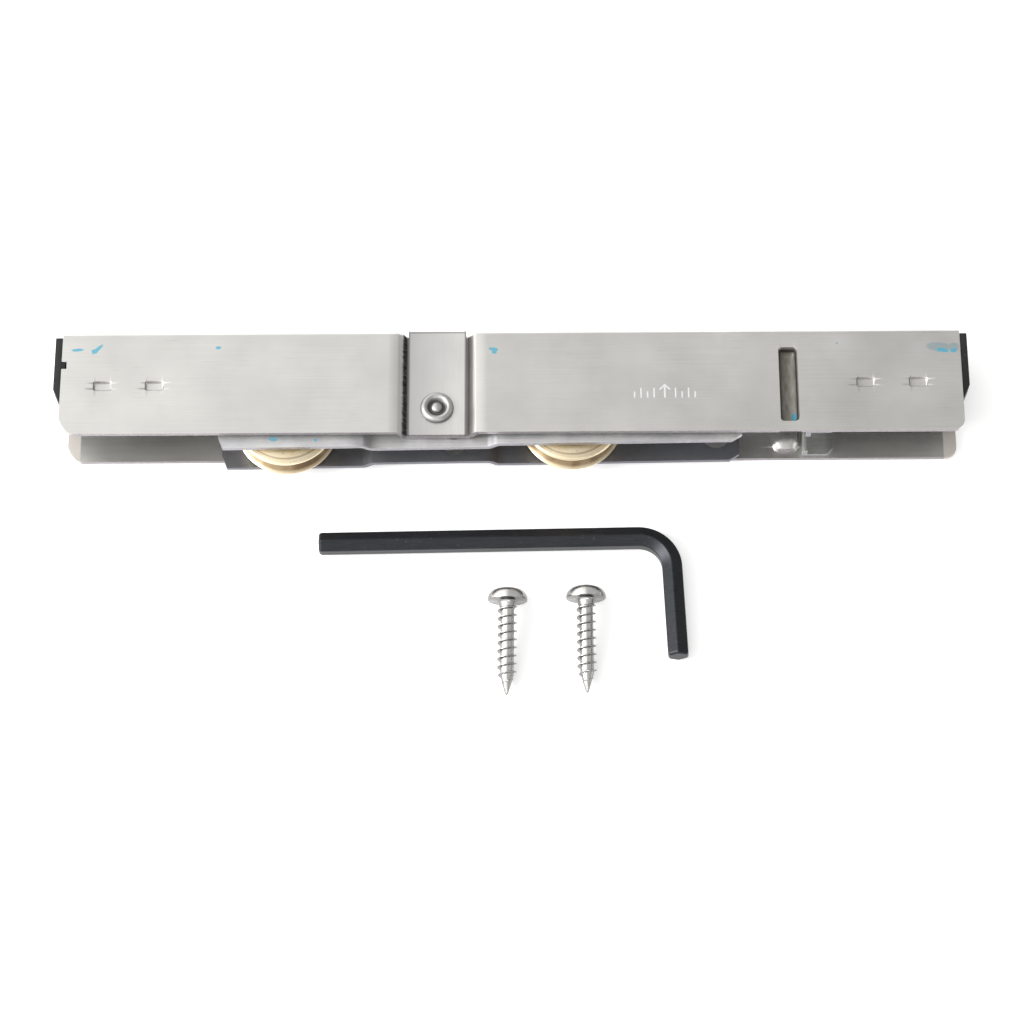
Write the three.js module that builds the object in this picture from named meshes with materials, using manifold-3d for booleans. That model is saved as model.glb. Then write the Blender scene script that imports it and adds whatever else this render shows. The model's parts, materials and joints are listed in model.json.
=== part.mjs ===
// Adjustable tandem roller cassette for a sliding door, with its hex key and fixing screws.
//
// It lies on its side, as it would on a bench: +X runs along the housing, +Y points out of the
// housing's web, towards the door rail, and +Z points up, out of the front flange. The origin is the
// middle of the back flange's outer face, which rests on the bench at Z = 0.

import * as THREE from "three";
import { mergeVertices } from "three/addons/utils/BufferGeometryUtils.js";
import Module from "manifold-3d";

const wasm = await Module();
wasm.setup();

const DEG = Math.PI / 180;

// Housing: a pressed U channel.
const HOUSING_LENGTH = 159.5;
const HOUSING_WIDTH = 13;
const HOUSING_HEIGHT = 20;
const SHEET = 0.9;
const BEND = 1.3;
const MID_Z = HOUSING_WIDTH / 2;
const HALF_LENGTH = HOUSING_LENGTH / 2;
const WEB_Y = HOUSING_HEIGHT / 2;

// Pivot: a strap over the housing's waist carries a rivet.
const PIVOT = new THREE.Vector2(-13.1, -4.85);
const WAIST_DEPTH = 1.9;
const WAIST_HALF = 5.3;
const WAIST_RAMP = 1.7;
const STRAP_SHEET = 0.75;
const STRAP_HALF = 5.1;
const RIVET_RADIUS = 1.5;
const RIVET_HEAD_RADIUS = 2.95;
const BUSH_RADIUS = 2.3;

// Truck: the inner channel, rocked a little about the rivet where it lies.
const TRUCK_ROCK = 0.69 * DEG;
const TRUCK_WIDTH = 9.4;
const TRUCK_LEFT = -38.7;
const TRUCK_RIGHT = 53.7;
const TRUCK_BOTTOM = -6.8;
const TRUCK_TOP = 8.6;
const TRUCK_PINCH = 1.2;
const TRUCK_PINCH_LEFT = -12.3;
const TRUCK_PINCH_RIGHT = 9.7;
const TRUCK_RAMP = 1.0;
const SLOT_SLOPE = 45 * DEG;
const LIFT_TRAVEL = 4.0;
const DROP_TRAVEL = 1.0;

// Wheels, at their places from the rivet along the truck.
const WHEELS = { left: -26.85, right: 23.85 };
const WHEEL_RADIUS = 9.05;
const WHEEL_WIDTH = 5.0;
const GROOVE_DEPTH = 1.5;
const WHEEL_BORE = 5.3;
const RACE_OUTER = [5.25, 4.45];
const RACE_INNER = [2.75, 1.56];
const BALL_RADIUS = 0.8;
const BALL_COUNT = 7;
const AXLE_RADIUS = 1.5;
const AXLE_HEAD_RADIUS = 2.4;

// Adjuster: a socket screw held endways by a bracket draws a nut along the truck.
const SCREW_Y = -1.5;
const SCREW_RADIUS = 2.0;
const SCREW_HEAD_RADIUS = 3.45;
const SCREW_HEAD_LENGTH = 4.2;
const SCREW_END_X = 27;
const HEX_ACROSS = 3.57;
const NUT_X = 36.6;
const TRUNNION_RADIUS = 2.2;
const BRACKET_LEFT = 51.95;
const BRACKET_RIGHT = 57.45;
const WASHER_THICK = 0.8;

// Ends: plugs with a well for each fixing screw and a notch for the key.
const PLUG_LENGTH = 19.8;
const PLUG_PROUD = 1.25;
const FIXING_X = 67;
const WELL_RADIUS = 3.9;
const WELL_TOP = 6.4;
const KEY_NOTCH = 5.2;

const GAP = 0.05;

const STEEL = { color: 0xc9c8c4, roughness: 0.38, metalness: 0.95 };
const BRIGHT = { color: 0xd8d6d0, roughness: 0.25, metalness: 1 };
const BRASS = { color: 0xc9a96c, roughness: 0.3, metalness: 1 };
const ZINC = { color: 0x8e9299, roughness: 0.45, metalness: 0.9 };
const BLACK_PLASTIC = { color: 0x161616, roughness: 0.55, metalness: 0 };
const BLACK_OXIDE = { color: 0x1c1c1d, roughness: 0.5, metalness: 0.6 };

const model = new THREE.Group();

// ---------------------------------------------------------------- solids

function toSolid(geometry) {
  const bare = geometry.index ? geometry.toNonIndexed() : geometry.clone();
  bare.deleteAttribute("normal");
  bare.deleteAttribute("uv");
  const merged = mergeVertices(bare, 1e-4);
  return new wasm.Manifold(new wasm.Mesh({
    numProp: 3,
    vertProperties: new Float32Array(merged.attributes.position.array),
    triVerts: new Uint32Array(merged.index.array),
  }));
}

function toGeometry(solid) {
  const mesh = solid.getMesh();
  const geometry = new THREE.BufferGeometry();
  geometry.setAttribute("position", new THREE.BufferAttribute(mesh.vertProperties, 3));
  geometry.setIndex(new THREE.BufferAttribute(mesh.triVerts, 1));
  return geometry;
}

function cut(solid, tools) {
  return tools.reduce((rest, tool) => rest.subtract(toSolid(tool)), solid);
}

function join(parts) {
  return parts.map(toSolid).reduce((whole, part) => whole.add(part));
}

function addPart(name, geometry, finish, parent = model) {
  geometry.computeVertexNormals();
  const mesh = new THREE.Mesh(geometry, new THREE.MeshStandardMaterial(finish));
  mesh.name = name;
  parent.add(mesh);
  return mesh;
}

// ---------------------------------------------------------------- shapes

function block(x, y, z) {
  const box = new THREE.BoxGeometry(x[1] - x[0], y[1] - y[0], z[1] - z[0]);
  return box.translate((x[0] + x[1]) / 2, (y[0] + y[1]) / 2, (z[0] + z[1]) / 2);
}

// A round bar along Z between two heights, centred on x, y.
function pinZ(radius, low, high, x = 0, y = 0, sides = 24) {
  const bar = new THREE.CylinderGeometry(radius, radius, high - low, sides);
  return bar.rotateX(Math.PI / 2).translate(x, y, (low + high) / 2);
}

// A round bar along Y between two heights, centred on x, z.
function pinY(radius, low, high, x = 0, z = 0, sides = 24) {
  return new THREE.CylinderGeometry(radius, radius, high - low, sides).translate(x, (low + high) / 2, z);
}

// A solid body turned about Z from [radius, height] points, which starts and ends on the axis.
function spindle(profile, sides = 20) {
  const points = profile.map(([r, h]) => new THREE.Vector2(r, h));
  return new THREE.LatheGeometry(points, sides).rotateX(Math.PI / 2);
}

// A ring turned about Z from [radius, height] points, whose outline closes on itself.
function ring(profile, sides = 24) {
  return spindle([...profile, profile[0]], sides);
}

// A shape in the X-Y plane, extruded along Z between two heights.
function plate(shape, low, high) {
  const options = { depth: high - low, bevelEnabled: false, curveSegments: 8 };
  return new THREE.ExtrudeGeometry(shape, options).translate(0, 0, low);
}

// A slot with round ends between two points.
function slotShape(start, end, radius) {
  const angle = Math.atan2(end.y - start.y, end.x - start.x);
  const shape = new THREE.Shape();
  shape.absarc(end.x, end.y, radius, angle - Math.PI / 2, angle + Math.PI / 2, false);
  shape.absarc(start.x, start.y, radius, angle + Math.PI / 2, angle + 1.5 * Math.PI, false);
  shape.closePath();
  return shape;
}

// The outline of a U channel in the X-Y plane: x across, y up to the web.
function channelShape(width, bottom, top, sheet, bend) {
  const half = width / 2;
  const inner = bend - sheet;
  const shape = new THREE.Shape();
  shape.moveTo(half - sheet, bottom);
  shape.lineTo(half, bottom);
  shape.absarc(half - bend, top - bend, bend, 0, Math.PI / 2, false);
  shape.absarc(bend - half, top - bend, bend, Math.PI / 2, Math.PI, false);
  shape.lineTo(-half, bottom);
  shape.lineTo(sheet - half, bottom);
  shape.absarc(bend - half, top - bend, inner, Math.PI, Math.PI / 2, true);
  shape.absarc(half - bend, top - bend, inner, Math.PI / 2, 0, true);
  shape.closePath();
  return shape;
}

// A channel along X through the given stations, each [x, how far both flanges are pinched in].
function channel(shape, stations) {
  const steps = stations.length - 1;
  const options = { depth: steps, steps, bevelEnabled: false, curveSegments: 3 };
  const geometry = new THREE.ExtrudeGeometry(shape, options);
  const position = geometry.attributes.position;
  for (let i = 0; i < position.count; i += 1) {
    const [x, pinch] = stations[Math.round(position.getZ(i))];
    const across = position.getX(i);
    position.setXYZ(i, x, position.getY(i), MID_Z - across + Math.sign(across) * pinch);
  }
  return geometry;
}

// ---------------------------------------------------------------- housing

const DIMPLES = [-72.3, -63.1, 62.7, 72.0];
const DIMPLE_Y = -0.7;
const BEAD = { x: 49.1, low: -8.2, high: 6.2, radius: 1.6, depth: 2.2 };
const WINDOWS = [[-49.9, -35.6], [1.5, 15.9]];
const PAD = [34.2, 52.4];

// One flange's share of a shape, mirrored to the other flange through the middle plane.
function bothSides(make) {
  const front = make();
  const back = make().scale(1, 1, -1).translate(0, 0, HOUSING_WIDTH);
  const indices = back.index ? back.toNonIndexed() : back;
  const position = indices.attributes.position;
  for (let i = 0; i < position.count; i += 3) {
    const a = new THREE.Vector3().fromBufferAttribute(position, i);
    const b = new THREE.Vector3().fromBufferAttribute(position, i + 1);
    position.setXYZ(i, b.x, b.y, b.z);
    position.setXYZ(i + 1, a.x, a.y, a.z);
  }
  return [front, indices];
}

// An upright half-round bead pressed in from the front face, radius from its own axis.
function beadBar(radius) {
  return pinY(radius, BEAD.low, BEAD.high, BEAD.x, HOUSING_WIDTH - BEAD.depth + BEAD.radius, 16);
}

function cornerCut(side, size) {
  const x = side * HALF_LENGTH;
  const shape = new THREE.Shape([
    new THREE.Vector2(x + side, -WEB_Y - 1),
    new THREE.Vector2(x + side, size[1] - WEB_Y + size[1] / size[0]),
    new THREE.Vector2(x - side * size[0] - side, -WEB_Y - size[1] / size[0]),
  ]);
  return plate(shape, -1, HOUSING_WIDTH + 1);
}

function makeHousing() {
  const outline = channelShape(HOUSING_WIDTH, -WEB_Y, WEB_Y, SHEET, BEND);
  const ramp = [WAIST_HALF + WAIST_RAMP, WAIST_HALF];
  let solid = toSolid(channel(outline, [
    [-HALF_LENGTH, 0],
    [PIVOT.x - ramp[0], 0],
    [PIVOT.x - ramp[1], WAIST_DEPTH],
    [PIVOT.x + ramp[1], WAIST_DEPTH],
    [PIVOT.x + ramp[0], 0],
    [HALF_LENGTH, 0],
  ]));
  for (const bead of bothSides(() => beadBar(BEAD.radius))) {
    solid = solid.add(toSolid(bead));
  }
  for (const x of DIMPLES) {
    const z = [HOUSING_WIDTH - SHEET - 0.6, HOUSING_WIDTH - SHEET / 2];
    for (const dimple of bothSides(() => block([x - 1.65, x + 1.65], [DIMPLE_Y - 0.9, DIMPLE_Y + 0.9], z))) {
      solid = solid.add(toSolid(dimple));
    }
  }
  solid = solid.add(toSolid(block(PAD, [WEB_Y - SHEET / 2, WEB_Y + 0.3], [2.2, HOUSING_WIDTH - 2.2])));
  const above = [HOUSING_WIDTH, HOUSING_WIDTH + 3];
  const outside = () => block([BEAD.x - 3, BEAD.x + 3], [BEAD.low - 1, BEAD.high + 1], above);
  return cut(solid, [
    ...bothSides(() => beadBar(BEAD.radius - SHEET)),
    ...bothSides(outside),
    ...bothSides(() => pinZ(RIVET_RADIUS + GAP, MID_Z, HOUSING_WIDTH, PIVOT.x, PIVOT.y)),
    ...WINDOWS.map((x) => block(x, [WEB_Y - 2, WEB_Y + 1], [3, HOUSING_WIDTH - 3])),
    ...[-FIXING_X, FIXING_X].map((x) => pinY(2.1, WEB_Y - 2, WEB_Y + 1, x, MID_Z)),
    block([-HALF_LENGTH - 1, -HALF_LENGTH + 0.9], [2.7, 4.1], [-1, HOUSING_WIDTH + 1]),
    cornerCut(-1, [1.9, 2.4]),
    cornerCut(1, [1.9, 2.4]),
  ]);
}

addPart("housing_channel", toGeometry(makeHousing()), STEEL);

// ---------------------------------------------------------------- pivot

const STRAP_OUTER_HALF = MID_Z - WAIST_DEPTH + GAP + STRAP_SHEET;
const STRAP_TOP = WEB_Y + GAP + STRAP_SHEET;

function makeStrap() {
  const outline = channelShape(2 * STRAP_OUTER_HALF, -WEB_Y, STRAP_TOP, STRAP_SHEET, 1.25);
  const strap = channel(outline, [[PIVOT.x - STRAP_HALF, 0], [PIVOT.x + STRAP_HALF, 0]]);
  return cut(toSolid(strap), [pinZ(RIVET_RADIUS + GAP, -1, HOUSING_WIDTH + 1, PIVOT.x, PIVOT.y)]);
}

// The rivet's flat tail is at the back, and its rolled head with a recess is at the front.
function makeRivet() {
  const back = MID_Z - STRAP_OUTER_HALF - GAP;
  const front = MID_Z + STRAP_OUTER_HALF + GAP;
  return spindle([
    [0, back - 0.8],
    [2.2, back - 0.8],
    [2.6, back - 0.4],
    [2.6, back],
    [RIVET_RADIUS, back],
    [RIVET_RADIUS, front],
    [RIVET_HEAD_RADIUS, front],
    [RIVET_HEAD_RADIUS, front + 0.4],
    [2.3, front + 0.9],
    [1.7, front + 0.9],
    [1.4, front + 0.4],
    [0, front + 0.4],
  ], 20);
}

const TRUCK_HALF = TRUCK_WIDTH / 2;
const PINCHED_HALF = TRUCK_HALF - TRUCK_PINCH;

function makeBush() {
  const length = [MID_Z - PINCHED_HALF, MID_Z + PINCHED_HALF];
  return ring([
    [RIVET_RADIUS + GAP, length[0]],
    [BUSH_RADIUS, length[0]],
    [BUSH_RADIUS, length[1]],
    [RIVET_RADIUS + GAP, length[1]],
  ], 20);
}

addPart("saddle_strap", toGeometry(makeStrap()), STEEL);
const atPivot = new THREE.Group();
atPivot.position.set(PIVOT.x, PIVOT.y, 0);
model.add(atPivot);
addPart("pivot_rivet", makeRivet(), BRIGHT, atPivot);
addPart("slide_bush", makeBush(), BRIGHT, atPivot);

// ---------------------------------------------------------------- truck

// Everything in this group is placed from the rivet and rocks with the truck.
const truck = new THREE.Group();
truck.position.set(PIVOT.x, PIVOT.y, 0);
truck.rotation.z = TRUCK_ROCK;
model.add(truck);

const AXLE_Y = 0.03;
const TRUCK_SLOT_X = 49.67;
const TRUCK_SLOT_RADIUS = 2.4;
const WEB_END_X = 37;

function makeTruck() {
  const outline = channelShape(TRUCK_WIDTH, TRUCK_BOTTOM, TRUCK_TOP, SHEET, BEND);
  let solid = toSolid(channel(outline, [
    [TRUCK_LEFT, 0],
    [TRUCK_PINCH_LEFT - TRUCK_RAMP, 0],
    [TRUCK_PINCH_LEFT + TRUCK_RAMP, TRUCK_PINCH],
    [TRUCK_PINCH_RIGHT - TRUCK_RAMP, TRUCK_PINCH],
    [TRUCK_PINCH_RIGHT + TRUCK_RAMP, 0],
    [TRUCK_RIGHT, 0],
  ]));
  const through = [MID_Z - TRUCK_HALF - 1, MID_Z + TRUCK_HALF + 1];
  const slope = new THREE.Vector2(-Math.cos(SLOT_SLOPE), Math.sin(SLOT_SLOPE)).rotateAround(
    new THREE.Vector2(), -TRUCK_ROCK);
  const slot = slotShape(
    slope.clone().multiplyScalar(-LIFT_TRAVEL - 0.1),
    slope.clone().multiplyScalar(DROP_TRAVEL + 0.1),
    BUSH_RADIUS + 0.1);
  const trunnionSlot = slotShape(
    new THREE.Vector2(TRUCK_SLOT_X, -2.1),
    new THREE.Vector2(TRUCK_SLOT_X, TRUCK_TOP - 0.9 - TRUCK_SLOT_RADIUS),
    TRUCK_SLOT_RADIUS);
  const leftCorner = new THREE.Shape([
    new THREE.Vector2(TRUCK_LEFT - 1, TRUCK_BOTTOM + 4),
    new THREE.Vector2(TRUCK_LEFT - 1, TRUCK_BOTTOM - 1),
    new THREE.Vector2(TRUCK_LEFT + 1.5, TRUCK_BOTTOM - 1),
  ]);
  const rightCorner = new THREE.Shape([
    new THREE.Vector2(TRUCK_RIGHT + 1, TRUCK_BOTTOM + 2.2),
    new THREE.Vector2(TRUCK_RIGHT - 1.8, TRUCK_BOTTOM - 1),
    new THREE.Vector2(TRUCK_RIGHT + 1, TRUCK_BOTTOM - 1),
  ]);
  solid = cut(solid, [
    plate(slot, ...through),
    plate(trunnionSlot, ...through),
    plate(leftCorner, ...through),
    plate(rightCorner, ...through),
    block([WEB_END_X, TRUCK_RIGHT + 1], [TRUCK_TOP - BEND, TRUCK_TOP + 1], [MID_Z - 3.4, MID_Z + 3.4]),
  ]);
  for (const x of Object.values(WHEELS)) {
    solid = cut(solid, [
      pinZ(AXLE_RADIUS + GAP, ...through, x, AXLE_Y),
      block([x - 6.5, x + 6.5], [TRUCK_TOP - BEND, TRUCK_TOP + 1], [MID_Z - 3.2, MID_Z + 3.2]),
    ]);
  }
  return solid;
}

addPart("truck_frame", toGeometry(makeTruck()), ZINC, truck);

// ---------------------------------------------------------------- wheels

function makeWheel() {
  const side = WHEEL_WIDTH / 2;
  const rim = 0.7;
  const groove = [];
  for (let i = 0; i <= 4; i += 1) {
    const across = (side - rim) * (i / 2 - 1);
    const depth = GROOVE_DEPTH * (1 - (across / (side - rim)) ** 2);
    groove.push([WHEEL_RADIUS - depth, across]);
  }
  return ring([
    [WHEEL_BORE, -side],
    [WHEEL_RADIUS - 0.25, -side],
    [WHEEL_RADIUS, 0.25 - side],
    ...groove,
    [WHEEL_RADIUS, side - 0.25],
    [WHEEL_RADIUS - 0.25, side],
    [WHEEL_BORE, side],
  ], 32);
}

function makeRace([outer, inner], halfWidth) {
  return ring([[inner, -halfWidth], [outer, -halfWidth], [outer, halfWidth], [inner, halfWidth]]);
}

// Balls held at equal distances by a thin cage ring.
function makeBalls() {
  const pitchRadius = (RACE_OUTER[1] + RACE_INNER[0]) / 2;
  const cage = [pitchRadius - 0.25, pitchRadius + 0.25];
  const balls = [ring([[cage[0], -0.25], [cage[1], -0.25], [cage[1], 0.25], [cage[0], 0.25]], 21)];
  for (let i = 0; i < BALL_COUNT; i += 1) {
    const angle = (2 * Math.PI * i) / BALL_COUNT;
    const ball = new THREE.IcosahedronGeometry(BALL_RADIUS, 1);
    balls.push(ball.translate(pitchRadius * Math.cos(angle), pitchRadius * Math.sin(angle), 0));
  }
  return toGeometry(join(balls));
}

// The axle is riveted over the outside of both truck flanges.
function makeAxle() {
  const outside = TRUCK_HALF + GAP;
  return spindle([
    [0, -outside - 0.55],
    [1.9, -outside - 0.55],
    [AXLE_HEAD_RADIUS, -outside - 0.2],
    [AXLE_HEAD_RADIUS, -outside],
    [AXLE_RADIUS, -outside],
    [AXLE_RADIUS, outside],
    [AXLE_HEAD_RADIUS, outside],
    [AXLE_HEAD_RADIUS, outside + 0.2],
    [1.9, outside + 0.55],
    [0, outside + 0.55],
  ]);
}

function makeWasher(low, high) {
  return ring([[AXLE_RADIUS + GAP, low], [3.2, low], [3.2, high], [AXLE_RADIUS + GAP, high]], 20);
}

for (const [side, x] of Object.entries(WHEELS)) {
  const inside = TRUCK_HALF - SHEET - GAP;
  const race = WHEEL_WIDTH / 2 + 0.2;
  const axis = new THREE.Group();
  axis.position.set(x, AXLE_Y, MID_Z);
  truck.add(axis);
  addPart(`wheel_${side}`, makeWheel(), BRASS, axis);
  addPart(`outer_race_${side}`, makeRace(RACE_OUTER, WHEEL_WIDTH / 2 - 0.3), BRIGHT, axis);
  addPart(`ball_set_${side}`, makeBalls(), BRIGHT, axis);
  addPart(`inner_race_${side}`, makeRace(RACE_INNER, race), BRIGHT, axis);
  addPart(`axle_${side}`, makeAxle(), BRIGHT, axis);
  addPart(`front_washer_${side}`, makeWasher(race + GAP, inside), ZINC, axis);
  addPart(`back_washer_${side}`, makeWasher(-inside, -race - GAP), ZINC, axis);
}

// ---------------------------------------------------------------- adjuster

const PLATE_RIGHT = BRACKET_LEFT + SHEET;
const HEAD_X = PLATE_RIGHT + WASHER_THICK + 3 * GAP;

// The bracket: a plate across the channel with a leg along each flange.
function makeBracket() {
  const across = [SHEET + GAP, HOUSING_WIDTH - SHEET - GAP];
  const outer = block([BRACKET_LEFT, BRACKET_RIGHT], [0.25 - WEB_Y, 6], across);
  const hollow = block([PLATE_RIGHT, BRACKET_RIGHT + 1], [-WEB_Y - 1, 7], [across[0] + 0.9, across[1] - 0.9]);
  const corner = new THREE.Shape([
    new THREE.Vector2(BRACKET_RIGHT + 1, -WEB_Y + 2.55),
    new THREE.Vector2(BRACKET_RIGHT - 2.2, -WEB_Y - 1),
    new THREE.Vector2(BRACKET_RIGHT + 1, -WEB_Y - 1),
  ]);
  const bore = spindle([[0, -9], [SCREW_RADIUS + 0.15, -9], [SCREW_RADIUS + 0.15, 9], [0, 9]]);
  bore.rotateY(Math.PI / 2).translate(BRACKET_LEFT, SCREW_Y, MID_Z);
  const lowered = block([BRACKET_LEFT - 1, PLATE_RIGHT + 0.3], [-WEB_Y - 1, -6.6], [3.4, HOUSING_WIDTH - 3.4]);
  return cut(toSolid(outer), [hollow, plate(corner, -1, HOUSING_WIDTH + 1), bore, lowered]);
}

// Turned pieces of the adjuster are drawn along +Z and then laid along +X at the screw's axis.
function alongScrew(geometry, x) {
  return geometry.rotateY(Math.PI / 2).translate(x, SCREW_Y, MID_Z);
}

function hexBar(across, low, high) {
  const bar = new THREE.CylinderGeometry(across / Math.sqrt(3), across / Math.sqrt(3), high - low, 6);
  return bar.rotateX(Math.PI / 2).translate(0, 0, (low + high) / 2);
}

function makeAdjustScrew() {
  const reach = HEAD_X - SCREW_END_X;
  const screw = spindle([
    [0, -reach],
    [SCREW_RADIUS - 0.5, -reach],
    [SCREW_RADIUS, 0.5 - reach],
    [SCREW_RADIUS, 0],
    [SCREW_HEAD_RADIUS, 0],
    [SCREW_HEAD_RADIUS, SCREW_HEAD_LENGTH - 0.35],
    [SCREW_HEAD_RADIUS - 0.35, SCREW_HEAD_LENGTH],
    [0, SCREW_HEAD_LENGTH],
  ]);
  const socket = hexBar(HEX_ACROSS + 0.06, SCREW_HEAD_LENGTH - 2.4, SCREW_HEAD_LENGTH + 1);
  return alongScrew(toGeometry(cut(toSolid(screw), [socket])), HEAD_X);
}

function makeDrawNut() {
  const body = block([NUT_X - 3.5, NUT_X + 3.5], [SCREW_Y - 3, SCREW_Y + 3], [MID_Z - 3.4, MID_Z + 3.4]);
  const trunnions = pinZ(TRUNNION_RADIUS, MID_Z - TRUCK_HALF, MID_Z + TRUCK_HALF, NUT_X, SCREW_Y);
  const thread = spindle([[0, -9], [SCREW_RADIUS + GAP, -9], [SCREW_RADIUS + GAP, 9], [0, 9]]);
  return cut(join([body, trunnions]), [alongScrew(thread, NUT_X)]);
}

function makeThrustWasher() {
  const low = GAP;
  const high = GAP + WASHER_THICK;
  const inner = SCREW_RADIUS + 0.15;
  return alongScrew(ring([[inner, low], [4, low], [4, high], [inner, high]], 24), PLATE_RIGHT);
}

addPart("thrust_bracket", toGeometry(makeBracket()), STEEL);
addPart("thrust_washer", makeThrustWasher(), BRIGHT);
addPart("adjust_screw", makeAdjustScrew(), ZINC);
addPart("draw_nut", toGeometry(makeDrawNut()), BRIGHT);

// ---------------------------------------------------------------- end plugs

// side is -1 for the left plug and 1 for the right one.
function makePlug(side) {
  const end = HALF_LENGTH + GAP;
  const along = (a, b) => [Math.min(side * a, side * b), Math.max(side * a, side * b)];
  const body = block(along(end - PLUG_LENGTH, end + 0.2), [-3.6, 8.6], [SHEET + GAP, HOUSING_WIDTH - SHEET - GAP]);
  const capShape = new THREE.Shape([
    new THREE.Vector2(side * end, 8.9),
    new THREE.Vector2(side * end, -3.6),
    new THREE.Vector2(side * (end + 0.2), -3.6),
    new THREE.Vector2(side * (end + PLUG_PROUD), -1.2),
    new THREE.Vector2(side * (end + PLUG_PROUD), 8.9),
  ]);
  const parts = [body, plate(capShape, 0.15, HOUSING_WIDTH - 0.15)];
  if (side < 0) {
    parts.push(block(along(end - 0.7, end + 0.2), [2.8, 4], [0.15, HOUSING_WIDTH - 0.15]));
  }
  const pockets = DIMPLES.filter((x) => x * side > 0).flatMap((x) => bothSides(
    () => block([x - 1.9, x + 1.9], [DIMPLE_Y - 1.2, DIMPLE_Y + 1.2], [HOUSING_WIDTH - SHEET - 0.8, HOUSING_WIDTH])));
  return cut(join(parts), [
    ...pockets,
    pinY(WELL_RADIUS, -5, WELL_TOP, side * FIXING_X, MID_Z),
    pinY(2.1, 5, 10, side * FIXING_X, MID_Z),
    block(along(end - PLUG_LENGTH - 1, end + 3), [-5, SCREW_Y + KEY_NOTCH / 2], [
      MID_Z - KEY_NOTCH / 2, MID_Z + KEY_NOTCH / 2]),
  ]);
}

addPart("end_plug_left", toGeometry(makePlug(-1)), BLACK_PLASTIC);
addPart("end_plug_right", toGeometry(makePlug(1)), BLACK_PLASTIC);

// ---------------------------------------------------------------- hex key

const KEY_START = new THREE.Vector2(-34.1, -26.62);
const KEY_LONG = 62.1;
const KEY_SHORT = 22.5;
const KEY_HEADING = 0.8 * DEG;
const KEY_TURN = 88.4 * DEG;
const KEY_BEND = 5.95;
const KEY_LEAN = 3 * DEG;

// The key lies on the bench on one of its edges, with the opposite edge up.
function makeKey() {
  const radius = HEX_ACROSS / Math.sqrt(3);
  const setback = KEY_BEND * Math.tan(KEY_TURN / 2);
  const place = KEY_START.clone();
  let heading = KEY_HEADING;
  const stations = [];
  const advance = (distance, turn) => {
    const half = new THREE.Vector2(Math.cos(heading - turn / 2), Math.sin(heading - turn / 2));
    place.addScaledVector(half, distance);
    heading -= turn;
    stations.push([place.clone(), heading]);
  };
  advance(0, 0);
  advance(KEY_LONG - setback, 0);
  const bends = 8;
  for (let i = 0; i < bends; i += 1) {
    advance(2 * KEY_BEND * Math.sin(KEY_TURN / bends / 2), KEY_TURN / bends);
  }
  advance(KEY_SHORT - setback, 0);

  const corners = [];
  for (let i = 0; i < 6; i += 1) {
    const angle = (i * Math.PI) / 3 + Math.PI / 2 + KEY_LEAN;
    corners.push(new THREE.Vector2(radius * Math.cos(angle), radius * Math.sin(angle)));
  }
  const steps = stations.length - 1;
  const options = { depth: steps, steps, bevelEnabled: false };
  const geometry = new THREE.ExtrudeGeometry(new THREE.Shape(corners), options);
  const position = geometry.attributes.position;
  for (let i = 0; i < position.count; i += 1) {
    const [centre, direction] = stations[Math.round(position.getZ(i))];
    const aside = position.getX(i);
    const x = centre.x - Math.sin(direction) * aside;
    const y = centre.y + Math.cos(direction) * aside;
    position.setXYZ(i, x, y, radius + position.getY(i));
  }
  return geometry;
}

addPart("hex_key", makeKey(), BLACK_OXIDE);

// ---------------------------------------------------------------- fixing screws

const SCREW_HEADS = {
  left: { head: new THREE.Vector2(-0.74, -35.96), tip: new THREE.Vector2(-1.0, -54.92) },
  right: { head: new THREE.Vector2(12.93, -35.56), tip: new THREE.Vector2(13.03, -54.57) },
};
const PAN_RADIUS = 3.5;
const PAN_HEIGHT = 2.4;
const THREAD_RADIUS = 1.72;
const FIXING_LENGTH = 19.2;
const TIP_LENGTH = 3.6;

// Drawn along +Z from its tip.
function makeFixingScrew() {
  const neck = FIXING_LENGTH - PAN_HEIGHT;
  const screw = spindle([
    [0, 0],
    [THREAD_RADIUS, TIP_LENGTH],
    [THREAD_RADIUS, neck],
    [PAN_RADIUS, neck],
    [PAN_RADIUS, neck + 0.5],
    [3.1, neck + 1.5],
    [2.2, neck + 2.1],
    [0, FIXING_LENGTH],
  ], 20);
  const wing = [FIXING_LENGTH - 1.6, FIXING_LENGTH + 1];
  const recess = [
    block([-1.75, 1.75], [-0.42, 0.42], wing),
    block([-0.42, 0.42], [-1.75, 1.75], wing),
  ];
  return toGeometry(cut(toSolid(screw), recess));
}

// Each screw lies with its head's rim and the foot of its thread on the bench.
for (const [side, { head, tip }] of Object.entries(SCREW_HEADS)) {
  const droop = Math.atan2(PAN_RADIUS - THREAD_RADIUS, FIXING_LENGTH - PAN_HEIGHT - TIP_LENGTH);
  const tipHeight = THREAD_RADIUS * Math.cos(droop) - TIP_LENGTH * Math.sin(droop);
  const along = head.clone().sub(tip);
  const laid = new THREE.Group();
  laid.position.set(tip.x, tip.y, tipHeight + GAP);
  laid.rotation.z = Math.atan2(along.y, along.x);
  const tilted = new THREE.Group();
  tilted.rotation.y = Math.PI / 2 - droop;
  laid.add(tilted);
  model.add(laid);
  addPart(`fixing_screw_${side}`, makeFixingScrew(), BRIGHT, tilted);
}

export default model;
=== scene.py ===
# %% [markdown]
# # An adjustable tandem roller cassette
#
# This lesson dresses a finished mechanical model: a pressed steel roller cassette for a sliding door,
# lying on its side with its hex key and its two fixing screws. The mechanical model, which we call the
# frame, fixes every size and every joint. Here each of its pieces gets the surface that the real one
# has: folded sheet with soft bends, turned brass, rolled threads, brushed steel and ink stains.
#
# The frame is in metres. +X runs along the housing, +Y points out of its web and +Z points up.

# %% Load the frame
import json
import math

import bmesh
import bpy
from mathutils import Matrix, Vector


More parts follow.
